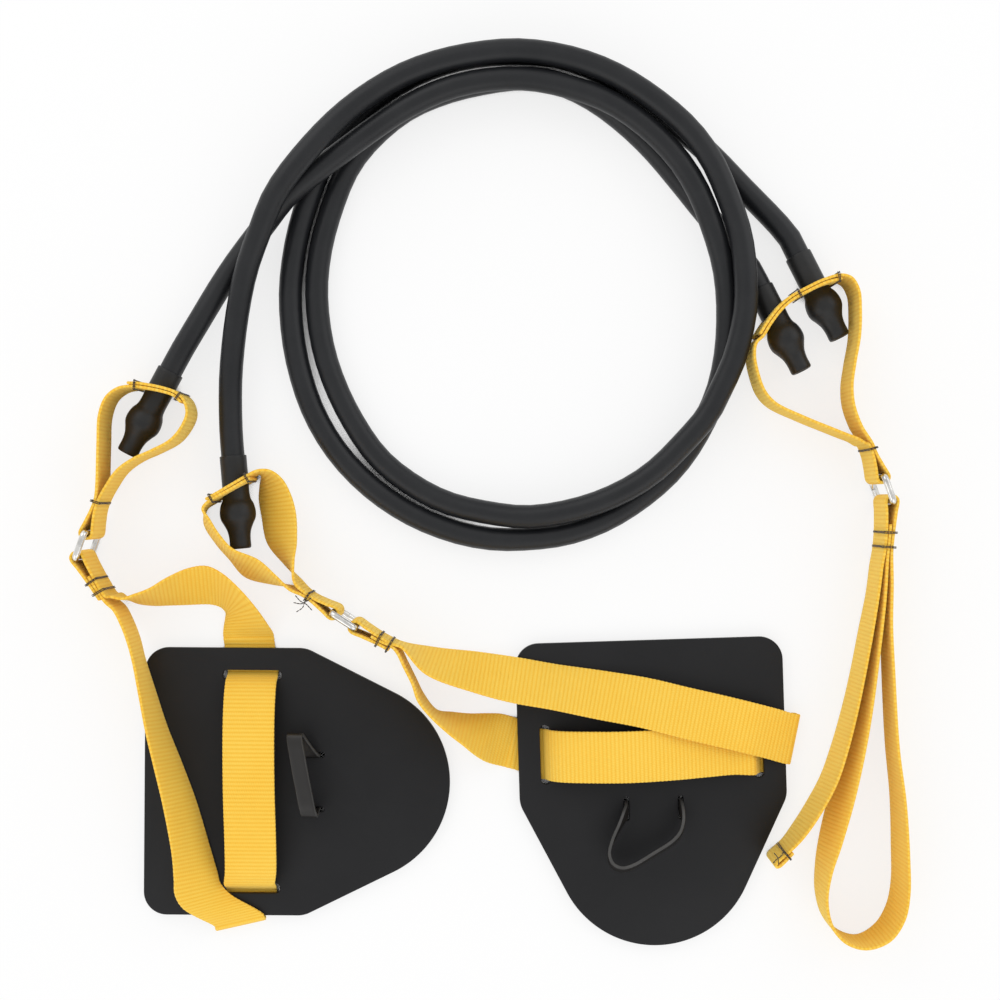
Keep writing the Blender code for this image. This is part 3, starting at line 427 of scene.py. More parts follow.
routeB = [
    (-128.5, 111.5, 10.5), (-127, 129, 12.5), (-124, 148.5, 15), (-119.5, 167, 18.5), (-112.5, 184.5, 23),
    (-104, 203, 27), (-88.5, 223.5, 28), (-69.5, 243.5, 25), (-48.5, 258.5, 22.5), (-31, 266.5, 21),
    (-9.5, 272, 20), (14.5, 274, 19.8), (40, 270, 20), (61.5, 261.5, 21), (82, 248, 21.8),
    (97, 234.5, 22), (107.5, 220, 22), (115.5, 202, 22), (121.5, 183.5, 22), (124, 164, 21.8),
    (124, 147, 21), (118.5, 123, 20.5), (113, 110.5, 19.5), (106, 96.5, 18.5), (95, 83.5, 18),
    (81, 69.5, 17), (66, 59.5, 15.5), (45, 51, 13.5), (19, 46.5, 12), (-1.5, 48.5, 9.5), (-22, 53.5, 7.5),
    (-39.5, 62.5, 6.5), (-56, 76, 6), (-70, 96.5, 6), (-79.5, 117.5, 6), (-84.5, 136.5, 6),
    (-86.5, 159, 6), (-84.5, 179, 6), (-79, 199.5, 6), (-71, 219, 6), (-60.5, 233, 6), (-42.7, 248, 6),
    (-24, 256.5, 6), (-4.5, 261.5, 6), (15.5, 264, 6), (32, 262, 6), (49, 254.5, 6), (64.5, 243.5, 6),
    (79.5, 229.5, 6), (94, 212.5, 6), (104, 200, 6), (111.5, 191, 6),
]


def tubePiece(name, route, near, far):
    start, aim = endAxis(near)
    stop, away = endAxis(far)
    lead = (tubing["depth"], *tubing["leadIn"])
    runs = [tuple(start + aim * along) for along in lead] + route
    runs += [tuple(stop + away * along) for along in lead[::-1]]
    fine = smoothCurve(runs)
    kept = [fine[0]]
    for point in fine[1:-1]:
        if dist(point, kept[-1]) >= tubing["pointStep"] and dist(point, fine[-1]) > tubing["lastStep"]:
            kept.append(point)
    kept.append(fine[-1])
    data = bpy.data.curves.new(name, "CURVE")
    data.dimensions = "3D"
    data.bevel_depth = tubing["diameter"] / 2 * millimetre
    data.bevel_resolution = tubing["ringSides"]
    data.use_fill_caps = True
    spline = data.splines.new("POLY")
    spline.points.add(len(kept) - 1)
    spline.use_smooth = True
    for slot, point in zip(spline.points, kept):
        slot.co = (*toMetres(point), 1.0)
    length = sum(dist(a, b) for a, b in zip(kept, kept[1:])) * millimetre
    return addObject(name, data, tubeFinish), toMetres(kept[0]), length


sleeves = {}
for place, end in sleeveEnds.items():
    sleeves[place] = sleevePiece("sleeve_" + place, end)
    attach(sleeves[place], "tubes")
    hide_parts("sleeve_" + place)
    paint(cadNodes["plug_" + place], plugFinish)
for letter, route in (("a", routeA), ("b", routeB)):
    tube, exitPoint, tubeLength = tubePiece(
        "tubing_" + letter, route, sleeveEnds[letter + "_handle"], sleeveEnds[letter + "_anchor"])
    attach(tube, "tubes")
    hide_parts("tube_" + letter)
    print("tube", letter, "is", round(tubeLength, 3), "m long")


# Webbing tape, its folds and how far back from each ring bar its tacks lie
webbing = {
    "width": 25.4, "thickness": 1.4, "layerGap": 0.3, "seatGap": 0.3, "floorPlay": 0.1, "foldSlack": 0.6,
    "edgeRound": 0.5, "scallop": 0.16, "holeRadius": 6.9, "endThin": 0.72,
    "loopTackBack": 17.0, "strapATackBack": 23.0, "strapBTackBack": 19.5, "anchorTackBack": 24.0,
}
wire = {"diameter": 3.2, "corner": 2.3, "webPlay": 1.6, "sides": 28, "cornerSteps": 10}
paddle = {
    "thickness": 3.0, "halfWidth": 66.5, "backRadius": 11.5, "shoulderAt": 79.8, "shoulderRadius": 14.0,
    "noseAt": 102.3, "noseRadius": 49.6, "edge": 0.7, "slotSide": 53.0, "slotLength": 29.4, "slotWidth": 5.0,
}
fingerLoop = {
    "at": 83.5, "slotSide": 13.5, "slotLength": 12.0, "slotWidth": 2.6, "width": 8.0, "thickness": 1.6,
    "edgeRound": 0.42,
    # distance from the slots to the nose, share of the way to a slot, height over the paddle, lean in degrees
    "arches": {
        "a": [
            (0, -1, 2.6, 0), (0.1, -1.1, 7.5, -2), (-0.1, -1.06, 10.8, -4), (-0.8, -0.8, 13, -6),
            (-2.2, -0.25, 13.9, -8), (-4.2, 0.5, 14.2, -10), (-5.8, 1.15, 14.2, -12), (-7, 1.62, 13.8, -14),
            (-7.4, 1.84, 12.6, -15), (-7, 1.86, 10.6, -15), (-5.2, 1.62, 8.2, -14), (-2.2, 1.25, 5.6, -9),
            (0, 1, 2.6, 0)],
        "b": [
            (0.4, -1.02, 2.6, 12), (2.5, -1.12, 4.8, 32), (7.5, -1.33, 7, 52), (14, -1.6, 8.8, 62),
            (20.5, -1.74, 9.6, 65), (25.5, -1.62, 10, 65), (27.6, -1.3, 10.2, 65), (26.5, -0.9, 10.2, 65),
            (21, -0.15, 10.2, 65), (15.5, 0.55, 9.9, 63), (11.5, 0.86, 9.2, 58), (7, 1, 7.6, 48),
            (3, 1.03, 5.2, 30), (0.6, 1.01, 2.6, 10)],
    },
}
paddlePlaces = {
    "a": {"x": -172.3, "y": -84.9, "turn": -0.4, "slot": 53.2},
    "b": {"x": 78.3, "y": -14.9, "turn": -88.2, "slot": 55.4},
}
ringBars = {
    "a": ((-195.2, 39.0), (-199.6, 26.8)),
    "b": ((-76.4, 0.3), (-65.4, -6.8)),
    "c": ((189.3, 66.0), (193.6, 54.0)),
}
floorGap = webbing["thickness"] + webbing["seatGap"] + webbing["floorPlay"]
paddleTop = floorGap + paddle["thickness"]
underHeight = webbing["thickness"] / 2
restHeight = paddleTop + webbing["seatGap"]
overHeight = restHeight + webbing["thickness"] / 2
ringInner = webbing["width"] + wire["webPlay"]
ringHeight = ringInner / 2 + wire["diameter"]
ringFoot = ringHeight - webbing["width"] / 2
foldRadius = wire["diameter"] / 2 + webbing["foldSlack"] + webbing["thickness"] / 2
lane = webbing["thickness"] + webbing["layerGap"]


# A station holds its place in plan, the height of its lowest edge and the direction across the tape
def station(x, y, foot, tipX=0.0, tipY=0.0, flip=1):
    lean = min(1.0, hypot(tipX, tipY))
    up = sqrt(1.0 - lean * lean)
    return (x, y, foot, flip * tipX, flip * tipY, flip * up)


def stationRow(spots, foot=0.0, flip=1):
    return [station(x, y, foot, *tip, flip=flip) for x, y, *tip in spots]


def flat(x, y, height, across):
    return (x, y, height - webbing["thickness"] / 2, across[0], across[1], 0.0)


def raised(point, width, thickness):
    across = Vector(point[3:6]).normalized()
    height = max(0.0, point[2]) + width / 2 * abs(across.z) + thickness / 2 * across.xy.length
    return Vector((point[0], point[1], height)), across


def unitPlan(aim):
    length = hypot(*aim)
    return aim[0] / length, aim[1] / length


def paddleMatrix(place):
    turn = Matrix.Rotation(radians(place["turn"]), 4, "Z")
    return Matrix.Translation((place["x"], place["y"], 0.0)) @ turn


def ringFold(bar, aim, layers, back):
    # Stations from one pinched leg, round a ring bar and back to the other leg
    ahead = unitPlan(aim)
    half = lane * (layers - 1) / 2

    def place(along, across, foot):
        return station(bar[0] + ahead[0] * along - ahead[1] * across,
                       bar[1] + ahead[1] * along + ahead[0] * across, foot)

    legs = []
    for side in (1, -1):
        legs.append([
            place(-back, side * half, ringFoot * 0.6),
            place(-back / 2 - 3, side * half, ringFoot * 0.9),
            place(-5.0, side * (half + foldRadius) / 2, ringFoot),
        ])
    arc = []
    for degrees in (75, 40, 0, -40, -75):
        angle = radians(degrees)
        arc.append(place(foldRadius * cos(angle), foldRadius * sin(angle), ringFoot))
    return legs[0] + arc + legs[1][::-1]


def strapPlace(place, u, v, height):
    # Station on a hand strap, its width along the paddle's u direction
    matrix = paddleMatrix(place)
    spot = matrix @ Vector((u, v, height))
    return flat(spot.x, spot.y, height, matrix.to_3x3() @ Vector((1.0, 0.0, 0.0)))


def handStrap(place, arch):
    # Stations up through one slot, over the hand and down through the other
    u = place["slot"]
    steps = [(3.7, underHeight), (1.9, underHeight + 0.15), (0.5, floorGap - 0.1), (-0.6, floorGap + 1.5),
             (-1.5, paddleTop + 0.6), (-3.4, paddleTop + 3.8)]
    rise = [strapPlace(place, u, paddle["slotSide"] + past, height) for past, height in steps]
    over = [strapPlace(place, u + shift, v, paddleTop + height) for v, height, shift in arch]
    fall = [strapPlace(place, u, -paddle["slotSide"] - past, height) for past, height in reversed(steps)]
    return rise + over + fall


def edgeFold(x, y, out, hand, rising):
    # Stations round a paddle's edge at a plan place, the tape's width square to the way out.
    # hand is 1 where the width points left of the way out and -1 where it points right.
    middle = (underHeight + overHeight) / 2
    radius = (overHeight - underHeight) / 2
    across = (-out[1] * hand, out[0] * hand)
    made = []
    for degrees in (-90, -45, 0, 45, 90):
        angle = radians(degrees)
        reach = radius * cos(angle)
        made.append(flat(x + out[0] * reach, y + out[1] * reach, middle + radius * sin(angle), across))
    return made if rising else made[::-1]


def laneEnd(bar, aim, back):
    # Stations of a free end sewn between the two legs of a ring fold
    ahead = unitPlan(aim)
    return [station(bar[0] + ahead[0] * along, bar[1] + ahead[1] * along, ringFoot * share)
            for along, share in ((-back - 2, 0.5), (-back / 2 - 3, 0.9), (-back / 2 + 1, 0.95))]


def beside(stations, distance):
    # The same stations moved to the right of their run, for a second layer
    moved = []
    for before, here, after in zip(stations[:1] + stations, stations, stations[1:] + stations[-1:]):
        run = Vector(after[:2]) - Vector(before[:2])
        run.normalize()
        moved.append((here[0] + run.y * distance, here[1] - run.x * distance, *here[2:]))
    return moved


# Webbing runs, in the order in which the webbing was threaded
def teardrop(top, down, bar, aim, up):
    # Doubled top, one leg down to a ring bar, round it and the other leg back up
    over = stationRow(top)
    return (over + stationRow(down) + ringFold(bar, aim, 2, webbing["loopTackBack"]) + stationRow(up)
            + beside(over, lane))


def handleLoopAStations():
    top = [(-176.3, 111.6), (-170, 111.3), (-158, 108.9), (-152.8, 106.9), (-149, 103.4)]
    down = [(-147.3, 97), (-150.3, 89.5), (-155.5, 83.6), (-164.7, 78.6), (-173.7, 74.5), (-181, 69.2),
            (-186, 62.3)]
    up = [(-190.8, 66), (-190.4, 82.5), (-189.7, 96), (-186.6, 104.3), (-181.5, 108.6)]
    return teardrop(top, down, ringBars["a"][0], (-0.29, -0.957), up)


def handleLoopBStations():
    top = [(-138.2, 55.1), (-126.2, 62), (-117.6, 66.9)]
    down = [(-114.2, 68.4, 0.1, 0.05), (-111.2, 67.6, 0.28, 0.12), (-108.8, 63.4, 0.52, 0.16),
            (-106.9, 56.5, 0.7, 0.1), (-105, 47.5, 0.75, 0.04), (-103.2, 34, 0.66, 0.06),
            (-99.4, 24.0, 0.3, 0.08), (-95.2, 15.0)]
    up = [(-97.4, 11.3), (-106.5, 15.2, 0.2, 0.18), (-118.0, 21.0, 0.36, 0.36), (-128.0, 28.2, 0.2, 0.22),
          (-134.6, 35.6, 0.2, 0.2), (-139.9, 44.3, 0.25, 0.1), (-140.8, 50.3, 0.1)]
    return teardrop(top, down, ringBars["b"][0], (0.84, -0.54), up)


def anchorLoopStations():
    top = [(130.6, 135.2), (134.3, 141.2), (140.2, 148.8), (146.3, 153.9), (153.2, 157.7), (162.2, 161.9),
           (170, 163.9)]
    down = [(175, 162.4), (178.4, 156.5), (179.2, 147), (178.8, 134.5), (176.6, 121.5), (175.2, 110.5),
            (176, 101), (179.5, 91)]
    up = [(181.5, 82.4), (178.2, 84.4), (173, 86.4), (165.5, 89.4), (152, 94.9), (138, 101.7),
          (132.8, 107.5), (129.6, 116), (127.9, 125), (128.8, 131)]
    return teardrop(top, down, ringBars["c"][0], (0.34, -0.94), up)


def paddleStrapAStations():
    bar, aim, back = ringBars["a"][1], (-0.525, 0.851), webbing["strapATackBack"]
    turn = [(-184.3, 7.9), (-180, 6.3, 0.1, 0.05), (-175, 6, 0.12, 0.2), (-167, 7, 0.12, 0.37),
            (-159, 9.5, 0.09, 0.56), (-148.5, 12, 0.07, 0.74), (-139.5, 12.5, 0.05, 0.77),
            (-133, 10, 0.15, 0.68), (-127.5, 5, 0.38, 0.5), (-123.5, -1.5, 0.72, 0.2),
            (-121.7, -8, 0.93, 0.06)]
    leadIn = [flat(-121, -13.2, underHeight + 0.4, (1.0, 0.02)), flat(-120.5, -18, underHeight, (1.0, 0.0)),
              flat(-120.2, -24, underHeight, (1.0, 0.0))]
    arch = [(43, 8.2, 0.1), (29, 11.6, 0.2), (0, 13.0, 0.7), (-29, 11.6, 1.5), (-43, 8.2, 1.2)]
    fold = edgeFold(-125.0, -153.9, (0.22, -0.975), 1, True)
    edge = [(-140, -142.8, -0.86, -0.14), (-144, -136.2, -0.77, -0.06), (-144.8, -129.8, -0.7),
            (-146.8, -117.5, -0.57, 0.02), (-152.5, -93, -0.43, 0.03), (-158.5, -73, -0.31, 0.06),
            (-163.5, -57, -0.2, 0.08), (-168, -39.5, -0.09, 0.06), (-172, -23.8, 0, 0.03)]
    home = [(-175.2, -14, 2.5), (-178.6, -6, 1.0), (-182.6, 1.5, 0.6)]
    return (ringFold(bar, aim, 3, back) + stationRow(turn, 0.4) + leadIn + handStrap(paddlePlaces["a"], arch)
            + fold + stationRow(edge, restHeight, -1) + [station(x, y, foot, flip=-1) for x, y, foot in home]
            + [(*place[:3], 0.0, 0.0, -1.0) for place in laneEnd(bar, aim, back)])


def paddleStrapBStations():
    bar, aim, back = ringBars["b"][1], (-0.873, 0.487), webbing["strapBTackBack"]
    over = [station(-43.0, -16.6, 1.5), station(-29.5, -24.2, 2.0, -0.15, -0.42),
            station(-7.5, -29.8, 3.0, -0.12, -0.70), station(11, -33.6, restHeight, -0.14, -0.81),
            station(32, -37.3, restHeight, -0.15, -0.81)]
    # Plan place, height of the middle and how far the width points up, over the paddle and the hand strap
    crossing = [(55, -41.3, 13.0, 0.42), (76, -45.0, 13.5, 0.33), (95, -49.6, 14.6, 0.25),
                (107, -52.5, 13.6, 0.18), (118, -55.2, 12.8, 0.1), (128.6, -57.9, 11.8, 0.03),
                (139.5, -61.0, 8.6, 0.0)]
    lifted = []
    for x, y, z, up in crossing:
        lean = sqrt(1 - up * up)
        foot = z - webbing["width"] / 2 * up - webbing["thickness"] / 2 * lean
        lifted.append((x, y, foot, -0.22 * lean, -0.976 * lean, up))
    fold = edgeFold(148.4, -63.8, (0.98, -0.2), -1, False)
    arch = [(40, 4.4, -0.6), (28, 6.5, -0.3), (8, 10.0, 0.3), (-14, 11.6, 0.6), (-33, 10.1, 0.3),
            (-44, 7.6, 0.1)]
    out = [flat(15.5, -68.0, underHeight, (-0.15, -1.0)), flat(9.5, -66.2, underHeight, (-0.25, -0.97))]
    rising = [(3.5, -64.2, -0.24, -0.95), (-3.5, -61.6, -0.2, -0.78), (-11.5, -58.4, -0.12, -0.5),
              (-19.6, -55, -0.05, -0.28), (-28.2, -50.2, -0.06), (-34.4, -42.5, -0.05), (-37.8, -34.5),
              (-41.6, -26.8)]
    return (ringFold(bar, aim, 3, back) + over + lifted + fold + handStrap(paddlePlaces["b"], arch) + out
            + stationRow(rising, 0.4) + laneEnd(bar, aim, back))


def anchorStrapStations():
    bar, aim, back = ringBars["c"][1], (0.06, 0.998), webbing["anchorTackBack"]
    # The folded hem, then the first run up to the ring
    first = [(146.7, -116.4), (139.8, -123), (138.5, -123.1), (138.5, -121.7), (145.4, -115.2),
             (150.8, -108.8, 0.06), (158.4, -97.5, 0.11, 0.03), (166.2, -83, 0.11, 0.04),
             (171.7, -67, 0.09, 0.03), (177, -47, 0.06, 0.02), (180.5, -31, 0.04), (184.5, -10, 0.03),
             (187.8, 8), (189.6, 22)]
    down = [(194.6, 16), (194.7, -6.5, -0.03), (195.5, -29, -0.01), (197.5, -66, 0.01), (200.3, -92, 0.05),
            (201.5, -118, 0.09), (201.5, -136.5, 0.1, -0.05), (199, -148.5, 0.1, -0.06),
            (192.8, -158, 0.06, -0.06), (182.5, -162.8), (172.5, -160), (165.6, -152),
            (162.7, -140, 0.03), (163.7, -127, 0.1), (167.2, -112.5, 0.22, 0.02), (173, -90.5, 0.26),
            (179.4, -66, 0.17), (184.2, -43.5, 0.08), (188.6, -16.5), (191, 5), (192, 20)]
    return stationRow(first) + ringFold(bar, aim, 3, back) + stationRow(down) + laneEnd(bar, aim, back)


# Tape as a mesh: rounded section, edges drawn in between the ribs, UV across and along in inches
def tapeFrames(stations, width, thickness):
    curve = [raised(point, width, thickness) for point in smoothCurve(stations)]
    sampled = []
    for before, here, after in zip(curve[:1] + curve, curve, curve[1:] + curve[-1:]):
        run = (after[0] - before[0]).normalized()
        sampled.append((here[0], run, here[1], run.cross(here[1]).normalized()))
    return sampled


def tapeSection(width, thickness, corner):
    half, deep = width / 2, thickness / 2
    section = []
    for sideways, out, start in ((1, 1, 90), (1, -1, 0), (-1, -1, -90), (-1, 1, 180)):
        for degrees in (0, 30, 60, 90):
            angle = radians(start - degrees)
            section.append((sideways * (half - corner) + corner * cos(angle),
                            out * (deep - corner) + corner * sin(angle)))
    rows = []
    for here, after in zip(section, section[1:] + section[:1]):
        rows.append(here)
        if abs(after[0] - here[0]) > width / 2:
            rows += [(here[0] + (after[0] - here[0]) * share, here[1]) for share in (0.2, 0.4, 0.6, 0.8)]
    return rows


def tapePiece(name, stations, finish, size, scallop):
    width = size["width"]
    sampled = tapeFrames(stations, width, size["thickness"])
    section = tapeSection(width, size["thickness"], size["edgeRound"])
    count = len(section)
    run = [0.0]
    for before, after in zip(sampled, sampled[1:]):
        run.append(run[-1] + (after[0] - before[0]).length)
    points, faces, uvs = [], [], []
    last = len(sampled) - 1
    for i, (centre, _, across, face) in enumerate(sampled):
        phase = 2 * pi * run[i] / weave["ribPitch"]
        drawIn = 1 - scallop * (0.5 + 0.5 * cos(phase)) / (width / 2)
        thin = webbing["endThin"] if i in (0, last) else 1.0
        points += [centre + across * sideways * drawIn + face * out * thin for sideways, out in section]
    for i in range(last):
        for k in range(count):
            j = (k + 1) % count
            faces.append((i * count + k, i * count + j, (i + 1) * count + j, (i + 1) * count + k))
            u1, u2 = section[k][0] / width + 0.5, section[j][0] / width + 0.5
            v1, v2 = run[i] / inch, run[i + 1] / inch
            uvs += [(u1, v1), (u2, v1), (u2, v2), (u1, v2)]
    for i, order in ((0, range(count - 1, -1, -1)), (last, range(count))):
        faces.append(tuple(i * count + k for k in order))
        uvs += [(section[k][0] / width + 0.5, run[i] / inch) for k in order]
    return meshFrom(name, points, faces, finish, "tape", uvs), sampled


def cutAway(target, cutter):
    modifier = target.modifiers.new("cut", "BOOLEAN")
    modifier.operation = "DIFFERENCE"
    modifier.solver = "EXACT"
    modifier.object = cutter
    bakeModifiers(target)
    bpy.data.objects.remove(cutter)


def punchHole(target, end, reach=9.0, sides=48):
    start, aim = endAxis(end)
    middle = start + aim * end["cuff"]
    points = [middle + aim * along + out * webbing["holeRadius"]
              for along in (-reach, reach) for out in circle(aim, sides)]
    faces = [tuple(range(sides)), tuple(range(2 * sides - 1, sides - 1, -1))]
    for k in range(sides):
        j = (k + 1) % sides
        faces.append((k, k + sides, j + sides, j))
    cutAway(target, meshFrom("punch", points, faces, tapeFinish, "tape"))


tapeRuns = {}
tapes = {
    "handle_loop_a": (handleLoopAStations, "handle_loop_a", ["a_handle"]),
    "handle_loop_b": (handleLoopBStations, "handle_loop_b", ["b_handle"]),
    "anchor_loop": (anchorLoopStations, "anchor_loop", ["a_anchor", "b_anchor"]),
    "paddle_strap_a": (paddleStrapAStations, "handle_a", []),
    "paddle_strap_b": (paddleStrapBStations, "handle_b", []),
    "anchor_strap": (anchorStrapStations, "anchor_strap", []),
}
for node, (stationsOf, body, ends) in tapes.items():
    tape, tapeRuns[node] = tapePiece(node + "_tape", stationsOf(), tapeFinish, webbing, webbing["scallop"])
    for end in ends:
        punchHole(tape, sleeveEnds[end])
    if ends:
        smoothShade(tape, "tape")
    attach(tape, body)
    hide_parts(node)
    print(node, "woven,", len(tape.data.polygons), "faces")


# Geometry Nodes: stitches along a line, and wire bent round a line with rounded corners
def newTree(name, sockets):
    tree = bpy.data.node_groups.new(name, "GeometryNodeTree")
    for label, kind in {"Geometry": "Geometry", **sockets, "Finish": "Material"}.items():
        tree.interface.new_socket(label, in_out="INPUT", socket_type="NodeSocket" + kind)
    tree.interface.new_socket("Geometry", in_out="OUTPUT", socket_type="NodeSocketGeometry")
    return tree, addNode(tree, "NodeGroupInput").outputs


def closeTree(tree, geometry, given):
    solid = flow(tree, "GeometryNodeRealizeInstances", {"Geometry": geometry})
    smooth = flow(tree, "GeometryNodeSetShadeSmooth", {"Geometry": solid})
    painted = flow(tree, "GeometryNodeSetMaterial", {"Geometry": smooth, "Material": given["Finish"]})
    addNode(tree, "NodeGroupOutput", {"Geometry": painted})
    return tree


def stitchTree():
    tree, given = newTree("stitch run", {"Pitch": "Float", "Stitch Length": "Float",
                                         "Thread Radius": "Float"})
    curve = flow(tree, "GeometryNodeMeshToCurve", {"Mesh": given["Geometry"]})
    spots = flow(tree, "GeometryNodeResampleCurve", {"Curve": curve, "Length": given["Pitch"]}, mode="LENGTH")
    grain = flow(tree, "GeometryNodeMeshUVSphere", {"Segments": 8, "Rings": 6, "Radius": 1.0})
    size = flow(tree, "ShaderNodeCombineXYZ", {
        "X": given["Thread Radius"], "Y": given["Thread Radius"], "Z": times(given["Stitch Length"], 0.5)})
    turn = flow(tree, "FunctionNodeAlignRotationToVector",
                {"Vector": flow(tree, "GeometryNodeInputTangent")}, axis="Z")
    laid = flow(tree, "GeometryNodeInstanceOnPoints",
                {"Points": spots, "Instance": grain, "Rotation": turn, "Scale": size})
    return closeTree(tree, laid, given)


def wireTree():
    tree, given = newTree("bent wire", {"Wire Radius": "Float", "Corner Radius": "Float", "Sides": "Int",
                                        "Corner Steps": "Int"})
    curve = flow(tree, "GeometryNodeMeshToCurve", {"Mesh": given["Geometry"]})
    bent = flow(tree, "GeometryNodeFilletCurve", {
        "Curve": curve, "Radius": given["Corner Radius"], "Count": given["Corner Steps"]}, mode="POLY")
    ring = flow(tree, "GeometryNodeCurvePrimitiveCircle",
                {"Resolution": given["Sides"], "Radius": given["Wire Radius"]})
    swept = flow(tree, "GeometryNodeCurveToMesh", {"Curve": bent, "Profile Curve": ring})
    return closeTree(tree, swept, given)


def runTree(name, tree, lines, closed, finish, lengths, counts=None):
    points, edges = [], []
    for line in lines:
        base = len(points)
        points += [toMetres(point) for point in line]
        edges += [(base + i, base + i + 1) for i in range(len(line) - 1)]
        if closed:
            edges.append((base + len(line) - 1, base))
    mesh = bpy.data.meshes.new(name)
    mesh.from_pydata(points, edges, [])
    made = addObject(name, mesh, finish)
    modifier = made.modifiers.new("tree", "NODES")
    modifier.node_group = tree
    given = {label: length * millimetre for label, length in lengths.items()}
    given.update(counts or {}, Finish=finish)
    for item in tree.interface.items_tree:
        if item.in_out == "INPUT" and item.name in given:
            modifier[item.identifier] = given[item.name]
    return bakeModifiers(made)


bentWire = wireTree()
ringReach = (ringInner + wire["diameter"]) / 2
for letter, ((x1, y1), (x2, y2)) in ringBars.items():
    low, high = ringHeight - ringReach, ringHeight + ringReach
    corners = [(x2, y2, low), (x2, y2, high), (x1, y1, high), (x1, y1, low)]
    middle = ((x1 + x2) / 2, (y1 + y2) / 2, low)
    ring = runTree("ring_%s_wire" % letter, bentWire, [[middle] + corners], True, ringFinish,
                   {"Wire Radius": wire["diameter"] / 2, "Corner Radius": wire["corner"]},
                   {"Sides": wire["sides"], "Corner Steps": wire["cornerSteps"]})
    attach(ring, "ring_" + letter)
    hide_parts("ring_" + letter)
print("rings bent")

# Sewn bars of each tape: CAD node, part of the tape's run, plan place, further layers crossed
stitching = {
    "pitch": 1.5, "length": 1.75, "threadRadius": 0.27, "apart": 0.3, "lift": 0.3, "thread": 0.5,
    "margin": 3.0, "stray": 0.1, "steps": 12,
}
sewnBars = {
    "handle_loop_a": [
        ("left_seam", (0, 1), (-172.5, 111.5), 1), ("right_seam", (0, 1), (-151.2, 105.9), 1),
        ("tack", (0, 1), (-189.8, 53.5), 1)],
    "handle_loop_b": [
        ("left_seam", (0, 1), (-136, 56.4), 1), ("right_seam", (0, 1), (-118.6, 66.4), 1),
        ("tack", (0, 1), (-88, 8.8), 1)],
    "anchor_loop": [
        ("middle_seam", (0, 1), (149, 155.6), 1), ("right_seam", (0, 1), (168.6, 163.6), 1),
        ("tack", (0, 1), (185.2, 80), 1)],
    "paddle_strap_a": [
        ("upper_tack", (0, 0.33), (-194, 14.4), 2), ("lower_tack", (0, 0.33), (-190.8, 9.3), 2)],
    "paddle_strap_b": [
        ("upper_tack", (0, 0.33), (-54.9, -14.6), 2), ("lower_tack", (0, 0.33), (-50, -17.1), 2)],
    "anchor_strap": [
        ("upper_tack", (0, 0.5), (191, 39.2), 2), ("lower_tack", (0, 0.5), (190.6, 32), 2),
        ("hem", (0.0167, 1), (144.3, -118.2), 1)],
}
# Loose thread ends as plan points with heights
looseThreads = {
    "handle_loop_b": [
        [(-93.6, 8.2, 29.4), (-91.5, 6, 29.7), (-88.9, 4.6, 29.6), (-86.6, 2.2, 29.3)],
        [(-87, 7.2, 29.5), (-89.4, 5.4, 30), (-90.6, 2.9, 29.6), (-93, 1.2, 29.2)],
        [(-94.2, 5.2, 29.4), (-91.2, 4.8, 29.8), (-88.2, 6.2, 29.6)]],
    "anchor_strap": [
        [(136.9, -120.2, 27), (138.4, -118.4, 27.4), (140, -117.6, 27.2), (141.2, -115.8, 26.9)],
        [(137.4, -116.4, 27), (138.6, -118, 27.6), (139, -120.6, 27.3)]],
}


def barLines(sampled, portion, place, layers, rng):
    # Two thread lines side by side, up one face of the tapes, over their top edge and down the other
    centre, run, across, face = min(
        sampled[int(portion[0] * len(sampled)):int(portion[1] * len(sampled))],
        key=lambda made: (made[0].xy - Vector(place)).length)
    clear, steps = stitching["lift"] + stitching["thread"] / 2, stitching["steps"]
    inner = webbing["thickness"] / 2 + clear
    outer = inner + lane * layers
    low = stitching["margin"] - webbing["width"] / 2
    high = webbing["width"] / 2 + clear
    walk = [(-inner, low + (high - low) * i / steps) for i in range(steps + 1)]
    walk += [(outer, high + (low - high) * i / steps) for i in range(steps + 1)]
    lines = []
    for side in (-1, 1):
        lines.append([centre + run * (side * stitching["apart"] + rng.uniform(-1, 1) * stitching["stray"])
                      + face * out + across * up for out, up in walk])
    return lines


stitchRun = stitchTree()
for node, bars in sewnBars.items():
    rng = random.Random(node)
    body = tapes[node][1]
    lines = []
    for label, portion, place, layers in bars:
        lines += barLines(tapeRuns[node], portion, place, layers, rng)
    for loose in looseThreads.get(node, []):
        lines.append(smoothCurve(loose, 0.6))
    thread = runTree(node + "_stitching", stitchRun, lines, False, threadBlack,
                     {"Pitch": stitching["pitch"], "Stitch Length": stitching["length"],
                      "Thread Radius": stitching["threadRadius"]})
    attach(thread, body)
    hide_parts(*[node + "_" + label for label, *_ in bars])
    print(node, "stitched,", len(thread.data.polygons), "faces")


# Paddles: plate in plan from its flat back edge (u) and centre line (v)
def roundedCorner(corner, before, after, radius, count=12):
    here = Vector(corner)
    back = (Vector(before) - here).normalized()
    ahead = (Vector(after) - here).normalized()
    half = back.angle(ahead) / 2
    centre = here + (back + ahead).normalized() * radius / sin(half)
    start = (here + back * radius / tan(half) - centre).normalized()
    stop = (here + ahead * radius / tan(half) - centre).normalized()
    return [tuple(centre + start.slerp(stop, i / count) * radius) for i in range(count + 1)]


def arcPoints(u, v, radius, start, sweep, count):
    angles = [start + sweep * i / count for i in range(count + 1)]
    return [(u + radius * cos(angle), v + radius * sin(angle)) for angle in angles]


